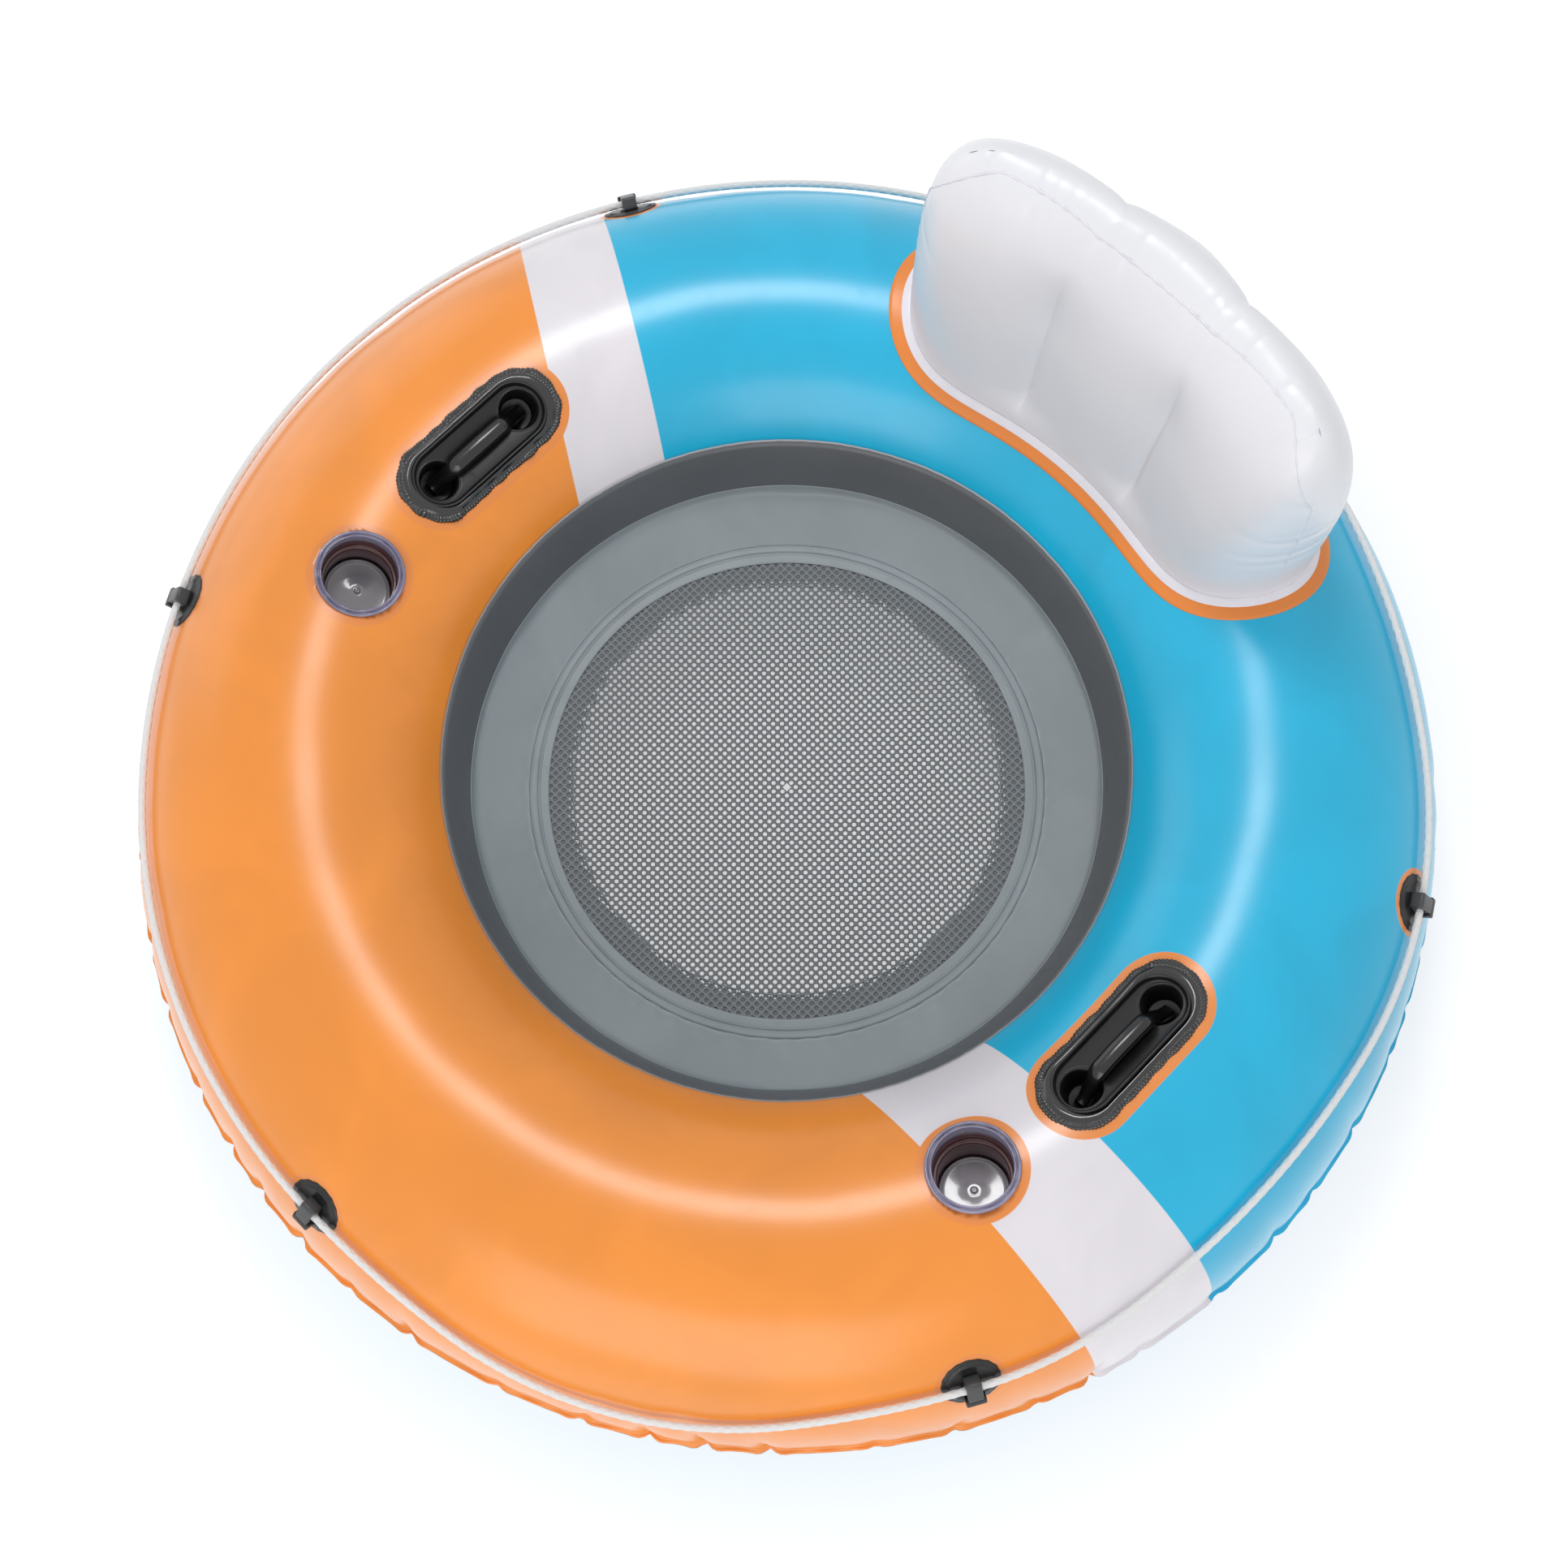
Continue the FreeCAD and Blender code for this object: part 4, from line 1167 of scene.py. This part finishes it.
    def build_pillow(self) -> None:
        """Closed pillow of a front and a rear sheet, standing on the ring."""
        share = np.sin(np.linspace(-0.5, 0.5, self.columns) * math.pi)
        share = 0.6 * share + 0.4 * np.linspace(-1, 1, self.columns)
        rise = np.linspace(0.0, 1.0, self.rows)
        rise = (1 - (1 - rise) ** 1.8)[:, None]
        parts = []
        for sheet in (1, -1):
            root = self.root_level(share, sheet)[None, :]
            parts.append(self.spot(share[None, :] + 0 * rise, root + (1 - root) * rise, sheet))
        front, rear = parts
        blend = np.linspace(0.0, 1.0, self.bottom_rows + 2)[1:-1, None, None]
        under = RING.drape(rear[0] + (front[0] - rear[0]) * blend, 0.0010)
        points = np.concatenate([front, rear[::-1][1:], under])
        faces = grid_faces(len(points), self.columns, True, False)
        piece = mesh_piece("backrest_pillow", points, faces[:, ::-1], PILLOW)
        normals = np.zeros(points.size, np.float32)
        piece.data.vertices.foreach_get("normal", normals)
        normals = normals.reshape(points.shape)
        height = self.top_z - self.root_z
        level = (points[..., 2] - self.root_z) / height
        azimuth = np.degrees(np.arctan2(points[..., 1], points[..., 0])) - self.azimuth
        reach = np.abs(azimuth) / self.half
        width = math.radians(self.half) * 0.5
        on_front = (np.arange(len(points)) < self.rows)[:, None]
        top_gap = np.where(on_front, np.abs(level - self.seam_level(reach)), 1.05 - level) * height
        side_gap = (1 - reach) * width
        run = np.where(top_gap < side_gap, 0.45 + azimuth / self.half * width,
                       0.45 + np.sign(azimuth) * (width + (1 - level) * 0.36))
        gap = np.clip(np.minimum(top_gap, side_gap), 0, None)
        moved = self.draw_in(self.puckers(points, normals, run, gap))
        outside = Cutout(self.valve_seat(), 0.0, self.valve_hole).apply(moved, 0.0028).ravel()
        piece.data.vertices.foreach_set("co", moved.astype(np.float32).ravel())
        shape = bmesh.new()
        shape.from_mesh(piece.data)
        within = [f for f in shape.faces if all(outside[v.index] < 1e-6 for v in f.verts)]
        bmesh.ops.delete(shape, geom=within, context="FACES")
        bmesh.ops.remove_doubles(shape, verts=shape.verts, dist=0.0004)
        shape.to_mesh(piece.data)
        shape.free()
        settle(piece, ["backrest_front_panel", "backrest_rear_panel",
                                       "backrest_web_left", "backrest_web_right"])

    def seam_path(self) -> Array:
        """Line of the weld round the front sheet, from one foot over the top to the other."""
        turned = 0.86
        high = float(self.seam_level(np.array(turned)))
        up = [(1.0, level) for level in np.linspace(0.24, 0.78, 60)]
        bend = [(1.0 - (1.0 - turned) * (1 - math.cos(a)), 0.78 + (high - 0.78) * math.sin(a))
                for a in np.linspace(0, math.pi / 2, 50)[1:]]
        over = [(share, float(self.seam_level(np.array(share))))
                for share in np.linspace(turned, 0.0, 90)[1:]]
        half = np.array(up + bend + over)
        line = np.concatenate([half, half[::-1][1:] * [-1, 1]])
        return self.spot(line[:, 0], line[:, 1], 1)

    def build_seam(self) -> None:
        """Weld bead along the pillow's edge and the foot weld on the ring."""
        path = self.seam_path()
        ripple = 0.0009 + 0.0003 * np.sin(np.arange(len(path)) * 0.9)
        settle(tube_along("pillow_seam", path, ripple, 8, SEAM, upright=(0.0, 1.0, 0.0)))
        loop = self.foot()
        wave = 0.0002 * np.sin(np.arange(len(loop)) * math.pi / 6)
        profile = ((-0.006, 0.0012), (-0.0010, 0.0034), (0.0012, 0.0036), (0.0034, 0.0026),
                   (self.weld - 0.0006, 0.0024), (self.weld, 0.0020), (self.weld + 0.0001, 0.0008))
        rows = [self.beside(loop, out, offset + wave * (out > 0)) for out, offset in profile]
        faces = grid_faces(len(rows), len(loop), False, True)[:, ::-1]
        foot = mesh_piece("pillow_foot_weld", np.array(rows), faces, SEAM)
        settle(foot)

    def build_border(self) -> None:
        """Orange border that carries the pillow."""
        loop = self.foot()
        profile = ((-0.045, 0.0004), (-0.044, 0.0012), (-0.02, 0.0012), (0.0, 0.0012), (self.weld, 0.0012),
                   (self.border - 0.004, 0.0012), (self.border - 0.0006, 0.0010), (self.border, 0.0004),
                   (self.border, -0.0004))
        rows = [self.beside(loop, out, offset) for out, offset in profile]
        faces = grid_faces(len(rows), len(loop), False, True)[:, ::-1]
        piece = mesh_piece("backrest_border", np.array(rows), faces, BORDER)
        settle(piece, ["backrest_base_flange"])

    def build(self) -> None:
        """Makes the border, the pillow and its seams."""
        self.build_border()
        self.build_pillow()
        self.build_seam()


@dataclass
class GrabRope:
    """Braided rope through six lugs on welded patches."""

    lugs: int = 6
    first: float = 30.0
    phi: float = 38.0
    spans: tuple[float, ...] = (45.5, 30.0, 36.0, 36.0, 27.0, 45.5)
    stand: float = 0.00755
    diameter: float = 0.0075
    strap_half: float = 0.0075
    seam_point: int = 4

    def route(self) -> Array:
        """Route points of the rope, from its sleeve round the ring and back to it."""
        spread = 360.0 / self.lugs / 4
        points = []
        for span in range(self.lugs):
            for place in range(4):
                tilt = math.radians(self.phi if place in (0, 3) else self.spans[span])
                reach = RING.radius + self.stand
                rho = (RING.ring_radius + reach * math.cos(tilt)) / math.cos(math.radians(spread / 2))
                turn = math.radians(self.first + 60.0 * span + spread * (place + 0.5))
                z = RING.radius + reach * math.sin(tilt)
                points.append((rho * math.cos(turn), rho * math.sin(turn), z))
        ring = np.array(points)
        seam = (ring[self.seam_point] + ring[self.seam_point + 1]) / 2
        return np.vstack([seam, ring[self.seam_point + 1:], ring[:self.seam_point + 1], seam])

    def centre_line(self, step: float) -> Array:
        """Evenly spaced points of the route's smooth spline."""
        route = self.route()
        curve = bpy.data.curves.new("rope_line", "CURVE")
        curve.dimensions = "3D"
        spline = curve.splines.new("NURBS")
        spline.points.add(len(route) - 1)
        for point, place in zip(spline.points, route):
            point.co = (*place, 1.0)
        spline.order_u = 3
        spline.use_endpoint_u = True
        spline.resolution_u = 64
        holder = bpy.data.objects.new("rope_line", curve)
        bpy.context.scene.collection.objects.link(holder)
        mesh = bpy.data.meshes.new_from_object(holder)
        line = np.array([v.co for v in mesh.vertices], float)
        bpy.data.objects.remove(holder)
        bpy.data.curves.remove(curve)
        bpy.data.meshes.remove(mesh)
        run = np.concatenate([[0.0], np.cumsum(np.linalg.norm(np.diff(line, axis=0), axis=1))])
        spots = np.arange(0.0, run[-1], step)
        return np.stack([np.interp(spots, run, line[:, k]) for k in range(3)], -1)

    def build_rope(self) -> None:
        """Rope with the strands of its braid."""
        step = 0.0015
        line = self.centre_line(step)
        turn = np.linspace(0, 2 * math.pi, 16, endpoint=False)[None, :]
        run = np.arange(len(line))[:, None] * step
        pitch = 2 * math.pi / 0.0125
        strand = np.maximum(np.cos(4 * turn + pitch * run), np.cos(4 * turn - pitch * run))
        radius = self.diameter / 2 * (0.92 + 0.11 * strand)
        settle(tube_along("grab_rope_braid", line, radius, 16, ROPE), ["grab_rope"])

    def build_lug(self, azimuth: float) -> list[bpy.types.Object]:
        """Patch, strap loop and block of one lug."""
        place = RING.placement(azimuth, self.phi)
        name = "lug_%03d" % azimuth
        turn = np.linspace(0, 2 * math.pi, 72, endpoint=False)[None, :]
        radius = np.array([0.0, 5, 10, 15, 19, 21.5, 22.5, 23.5, 25, 27, 28.3, 29.0, 29.2])[:, None] / 1000
        height = np.array([1.5, 1.5, 1.5, 1.5, 1.6, 2.1, 2.2, 1.9, 1.4, 1.4, 1.3, 0.8, -0.4])[:, None] / 1000
        wave = 1 + 0.012 * np.sin(turn * 17) * (radius > 0.026)
        local = np.stack([radius * wave * np.cos(turn), radius * wave * np.sin(turn),
                          0 * turn + 0 * radius], -1)
        ribs = 0.00018 * np.sin(turn * 46) * (radius > 0.0242) * (radius < 0.0288)
        patch = mesh_piece(name + "_patch", RING.drape(place.world(local), height + ribs),
                           grid_faces(13, 72, False, True)[:, ::-1], BLACK)
        eye_height, eye, half_y = 0.00755, 0.00435, 0.0125
        angle = np.linspace(0, 2 * math.pi, 96, endpoint=False)
        reach = (np.abs(np.cos(angle) / half_y) ** 7 + np.abs(np.sin(angle) / 0.0074) ** 7) ** (-1 / 7)
        loops = []
        for x, inside in ((-1, True), (-1, False), (1, False), (1, True)):
            r = np.full(96, eye) if inside else reach
            loops.append(np.stack([np.full(96, x * self.strap_half), r * np.cos(angle),
                                   eye_height + r * np.sin(angle)], -1))
        faces = grid_faces(4, 96, True, True)
        strap = mesh_piece(name + "_strap", place.world(np.array(loops)), faces, STRAP)
        round_edges(strap, 0.0009, 3, 40)
        corners = np.array([[x, y, z] for z in (0.0030, 0.0149) for y in (-0.0165, -0.0085)
                            for x in (-0.010, 0.010)])
        faces = np.array([[0, 2, 3, 1], [4, 5, 7, 6], [0, 1, 5, 4], [2, 6, 7, 3], [0, 4, 6, 2], [1, 3, 7, 5]])
        block = mesh_piece(name + "_block", place.world(corners), faces, BLACK)
        round_edges(block, 0.0016, 3, 40)
        return [patch, strap, block]

    def build(self) -> None:
        """Makes the lugs as one piece and the rope."""
        parts = []
        for number in range(self.lugs):
            parts += self.build_lug(self.first + 60.0 * number)
        settle(join_pieces("lug_set", parts), ["rope_lugs"])
        self.build_rope()
        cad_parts["rope_sleeve"].data.materials.clear()
        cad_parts["rope_sleeve"].data.materials.append(VALVE.material())


@dataclass
class GripHandle:
    """Crimped patch, dished tray with two wells, and the grip bar."""

    side: str
    azimuth: float
    phi: float = 111.0
    tray_run: float = 0.052
    tray_radius: float = 0.031
    patch_run: float = 0.055
    patch_radius: float = 0.045
    well_place: float = 0.056
    well_radius: float = 0.020

    def cutout(self) -> Cutout:
        """Hole in the skin that takes the tray."""
        return Cutout(RING.placement(self.azimuth, self.phi), self.tray_run, self.tray_radius + 0.0015)

    @staticmethod
    def slot_line(run: float, count: int) -> tuple[Array, Array, Array]:
        """Spine points, outward directions and run lengths of a slot outline."""
        radius = 0.040
        perimeter = 4 * run + 2 * math.pi * radius
        s = np.arange(count) / count * perimeter
        end = math.pi * radius
        spine, angle = np.zeros(count), np.zeros(count)
        first = s < 2 * run
        spine[first], angle[first] = -run + s[first], -math.pi / 2
        right = (s >= 2 * run) & (s < 2 * run + end)
        spine[right], angle[right] = run, -math.pi / 2 + (s[right] - 2 * run) / radius
        back = (s >= 2 * run + end) & (s < 4 * run + end)
        spine[back], angle[back] = run - (s[back] - 2 * run - end), math.pi / 2
        left = s >= 4 * run + end
        spine[left], angle[left] = -run, math.pi / 2 + (s[left] - 4 * run - end) / radius
        return spine, np.stack([np.cos(angle), np.sin(angle)], -1), s

    def build_patch(self, place: Placement) -> None:
        """Weld patch with a wavy edge and crimped ribs."""
        count = 560
        spine, ray, s = self.slot_line(self.patch_run, count)
        rng = np.random.default_rng(3 + int(self.azimuth))
        grow = np.array([0.0, 0.10, 0.2, 0.32, 0.45, 0.55, 0.65, 0.75, 0.84, 0.92, 0.97, 1.0])
        base = np.array([2.2, 3.0, 3.6, 3.2, 2.0, 1.7, 2.1, 2.6, 2.4, 1.9, 1.2, -0.3]) / 1000
        rows = []
        slow = sum(rng.uniform(0.3, 0.7) * np.sin(s / s[-1] * 2 * math.pi * n + rng.uniform(0, 6))
                   for n in (5, 9, 14, 23))
        ribs = np.sin(s / 0.0036 * 2 * math.pi + 1.5 * slow)
        for share, height in zip(grow, base):
            radius = self.tray_radius - 0.0005 + (self.patch_radius - self.tray_radius) * share
            radius = radius + 0.0007 * slow * share + 0.0003 * ribs * (share > 0.6)
            border = math.exp(-((share - 0.78) / 0.2) ** 2)
            lift = height + 0.0009 * ribs * border + 0.0011 * slow * border * (share < 0.99)
            run = self.tray_run + (self.patch_run - self.tray_run) * min(share / 0.3, 1.0)
            along = spine * run / self.patch_run + radius * ray[:, 0]
            local = np.stack([along, radius * ray[:, 1], 0 * spine], -1)
            rows.append(RING.drape(place.world(local), lift))
        faces = grid_faces(len(grow), count, False, True)[:, ::-1]
        piece = mesh_piece("handle_%s_patch" % self.side, np.array(rows), faces, CRIMPED)
        settle(piece, ["handle_patch_" + self.side])

    def build_tray(self, place: Placement) -> None:
        """Dish between its raised lip and the two wells."""
        count = 360
        spine, ray, _ = self.slot_line(self.tray_run, count)
        lip_radii = [31.0, 31.0, 30.6, 29.6, 28.6, 27.8, 27.4]
        lip = [0.0, 0.0042, 0.0050, 0.0051, 0.0044, 0.0022, 0.0002]
        radii = np.concatenate([lip_radii, np.linspace(26.6, 0.4, 44)]) / 1000
        rows = []
        for radius in radii:
            u, v = spine + radius * ray[:, 0], radius * ray[:, 1]
            inward = 1 - radius / 0.027
            dish = -0.0015 - 0.0105 * np.clip(inward, 0, 1) ** 0.8
            gap = np.hypot(np.abs(u) - self.well_place, v) - self.well_radius
            rim = 0.0012 * np.exp(-((gap - 0.0012) / 0.0008) ** 2)
            well = -0.0255 * smooth_step(-gap, 0.0, 0.0032)
            z = np.minimum(dish, dish + well) + rim
            z = np.where(gap < -0.003, np.minimum(z, -0.0265), z)
            rows.append(np.stack([u, v, z], -1))
        for row, height in zip(rows, lip):
            row[:, 2] = height
        piece = mesh_piece("handle_%s_tray" % self.side, place.world(np.array(rows)),
                           grid_faces(len(radii), count, False, True), BLACK)
        solidify(piece, 0.0012)
        settle(piece, ["handle_tray_" + self.side])

    def build_grip(self, place: Placement) -> None:
        """Bar that rises from one well and dips into the other."""
        count = 96
        u = np.linspace(-0.064, 0.064, count)
        dip = smooth_step(np.abs(u), 0.030, 0.066)
        z = 0.0048 - 0.0030 * (u / 0.04) ** 2 * (1 - dip) - 0.030 * dip
        width = 0.0092 - 0.0020 * dip
        turn = np.linspace(0, 2 * math.pi, 28, endpoint=False)[None, :]
        x = np.sign(np.cos(turn)) * np.abs(np.cos(turn)) ** 0.75
        y = np.sign(np.sin(turn)) * np.abs(np.sin(turn)) ** 0.9
        ridge = 0.0009 * np.exp(-((turn - math.pi / 2) / 0.22) ** 2)
        lift = z[:, None] - 0.0065 + 0.0065 * y + ridge
        local = np.stack([u[:, None] + 0 * x, width[:, None] * x, lift], -1)
        faces = grid_faces(count, 28, False, True)[:, ::-1]
        piece = mesh_piece("handle_%s_grip" % self.side, place.world(local), faces, GRIP)
        settle(piece, ["handle_grip_" + self.side])

    def build(self) -> None:
        """Makes one handle."""
        place = RING.placement(self.azimuth, self.phi)
        self.build_patch(place)
        self.build_tray(place)
        self.build_grip(place)


@dataclass
class CupHolder:
    """Double-rimmed collar, stepped wall and base disc."""

    side: str
    azimuth: float
    phi: float = 105.0

    def cutout(self) -> Cutout:
        """Hole in the skin that takes the cup."""
        return Cutout(RING.placement(self.azimuth, self.phi), 0.0, 0.0415)

    def build(self) -> None:
        """Makes one cup holder."""
        place = RING.placement(self.azimuth, self.phi)
        rim = [(38.0, -14), (42.8, -14), (43.0, 0.2), (44.2, 0.9), (45.0, 1.6), (45.1, 2.5), (44.4, 3.4),
               (43.2, 3.6), (42.2, 3.0), (41.6, 1.9), (40.9, 1.7), (40.4, 2.4), (40.0, 3.4), (39.2, 3.9),
               (38.4, 3.6), (38.0, 2.6)]
        piece = lathe("cup_%s_rim" % self.side, rim, place, CUP_RIM, 120, 0.25)
        settle(piece, ["cup_collar_" + self.side])
        wall = [(38.0, -14), (39.2, -14), (39.2, -27.2), (35.2, -28.4), (35.2, -64), (34.0, -64),
                (34.0, -28.0), (34.3, -26.8), (35.2, -26.0), (37.2, -26.0), (37.8, -25.2), (38.0, -24.0)]
        piece = lathe("cup_%s_wall" % self.side, wall, place, CUP_WALL, 120)
        settle(piece, ["cup_wall_" + self.side])
        base = [(0.3, -64), (33.9, -64), (33.9, -61.2), (32.6, -60.4), (31.2, -60.8), (30.4, -61.7),
                (28.0, -62.0), (8.0, -62.0), (6.5, -61.6), (5.0, -61.8), (3.2, -61.8), (2.9, -60.4),
                (2.0, -60.0), (0.3, -60.0)]
        piece = lathe("cup_%s_base" % self.side, base, place, CUP_BASE, 96)
        settle(piece, ["cup_base_" + self.side])


@dataclass
class Valves:
    """Soft valves of the ring and the pillow."""

    keys: tuple[str, ...] = ("tube_valve", "backrest_valve")

    def build(self) -> None:
        """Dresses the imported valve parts."""
        for key in self.keys:
            for part in ("flange", "stem", "stopper", "strap", "flap"):
                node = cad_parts["%s_%s" % (key, part)]
                node.data.materials.clear()
                node.data.materials.append(VALVE.material())
                log.info("%s dressed", node.name)


@dataclass(frozen=True)
class PaleFloor(Finish):
    """White floor that glows a little where it is seen, with a painted pool of light under the net."""

    name: str
    seen: float = 0.36
    painted_light_under_net: float = 0.15

    def dress(self, tree: Tree, shader: bpy.types.Node, position: bpy.types.NodeSocket) -> None:
        """Plain white that glows to the camera and in reflections."""
        shader.inputs["Base Color"].default_value = (0.9, 0.9, 0.9, 1)
        shader.inputs["Roughness"].default_value = 0.9
        shader.inputs["Specular IOR Level"].default_value = 0.0
        shader.inputs["Emission Color"].default_value = (1, 1, 1, 1)
        seen = tree.seen_rays()
        far = tree.vector("LENGTH", position, value=True)
        # Painted light: the floor glows brighter under the net.
        glow = tree.smooth(far, 0.18, 0.34, self.seen + self.painted_light_under_net, self.seen)
        tree.join(tree.math("MULTIPLY", seen, glow), shader.inputs["Emission Strength"])


@dataclass
class Studio:
    """Pale floor, soft lamps and the camera."""

    centre: tuple[float, float, float] = (0.0, 0.0, 0.2)
    room: float = 0.62
    floor_reach: float = 14.0

    def build_camera(self) -> None:
        """Camera at the photograph's angle."""
        camera = bpy.data.cameras.new("camera")
        camera.lens = 49.04
        camera.sensor_width = 36.0
        holder = bpy.data.objects.new("camera", camera)
        right = Vector((0.712982, 0.701181, -0.001283))
        up = Vector((-0.671879, 0.683708, 0.284821))
        back = Vector((0.200589, -0.202211, 0.958580))
        turn = Matrix((right, up, back)).transposed().to_4x4()
        holder.matrix_world = Matrix.Translation((0.45387, -0.46186, 2.33107)) @ turn
        bpy.context.scene.collection.objects.link(holder)
        bpy.context.scene.camera = holder

    def build_floor(self) -> None:
        """White floor that keeps the shadow."""
        reach = self.floor_reach
        points = np.array([[-reach, -reach, 0], [reach, -reach, 0], [reach, reach, 0], [-reach, reach, 0]],
                          float)
        mesh_piece("studio_floor", points, np.array([[0, 1, 2, 3]]), PaleFloor("pale floor"), False)

    def lamp(self, name: str, place: tuple[float, float, float], size: tuple[float, float],
             power: float) -> None:
        """One soft lamp that faces the object."""
        light = bpy.data.lights.new(name, "AREA")
        light.shape = "RECTANGLE"
        light.size, light.size_y = size
        light.energy = power
        holder = bpy.data.objects.new(name, light)
        holder.location = place
        holder.rotation_mode = "QUATERNION"
        holder.rotation_quaternion = (Vector(self.centre) - Vector(place)).to_track_quat("-Z", "Y")
        bpy.context.scene.collection.objects.link(holder)

    def build_light(self) -> None:
        """Bright room and three soft lamps."""
        world = bpy.data.worlds.new("studio")
        world.use_nodes = True
        bpy.context.scene.world = world
        tree = Tree(world.node_tree)
        background = world.node_tree.nodes["Background"]
        seen = tree.seen_rays()
        background.inputs["Color"].default_value = (1, 1, 1, 1)
        tree.join(tree.math("MULTIPLY_ADD", seen, 1.0 - self.room, self.room), background.inputs["Strength"])
        self.lamp("overhead", (-0.90, 0.75, 2.95), (0.72, 0.66), 17)
        self.lamp("side", (-3.2, -0.2, 1.1), (2.6, 1.9), 10)
        self.lamp("front", (1.7, -2.6, 1.9), (2.8, 2.2), 38)
        bpy.context.scene.view_settings.view_transform = "Standard"

    def build(self) -> None:
        """Makes the camera, the floor and the lamps."""
        self.build_camera()
        self.build_floor()
        self.build_light()


def main() -> None:
    """Builds the studio and the sub-assemblies in order."""
    logging.basicConfig(level=logging.INFO, format="%(name)s: %(message)s")
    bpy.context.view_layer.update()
    Studio().build()
    handles = [GripHandle("right", 0.0), GripHandle("left", 180.0)]
    cups = [CupHolder("right", 336.5), CupHolder("left", 203.5)]
    valve = Cutout(RING.placement(90.0, 18.0), 0.0, 0.0205)
    chamber = AirChamber(cutouts=[part.cutout() for part in (*handles, *cups)] + [valve])
    for part in (chamber, SeatFloor(), Backrest(), GrabRope(), *handles, *cups, Valves()):
        part.build()


if __name__ == "__main__":
    main()
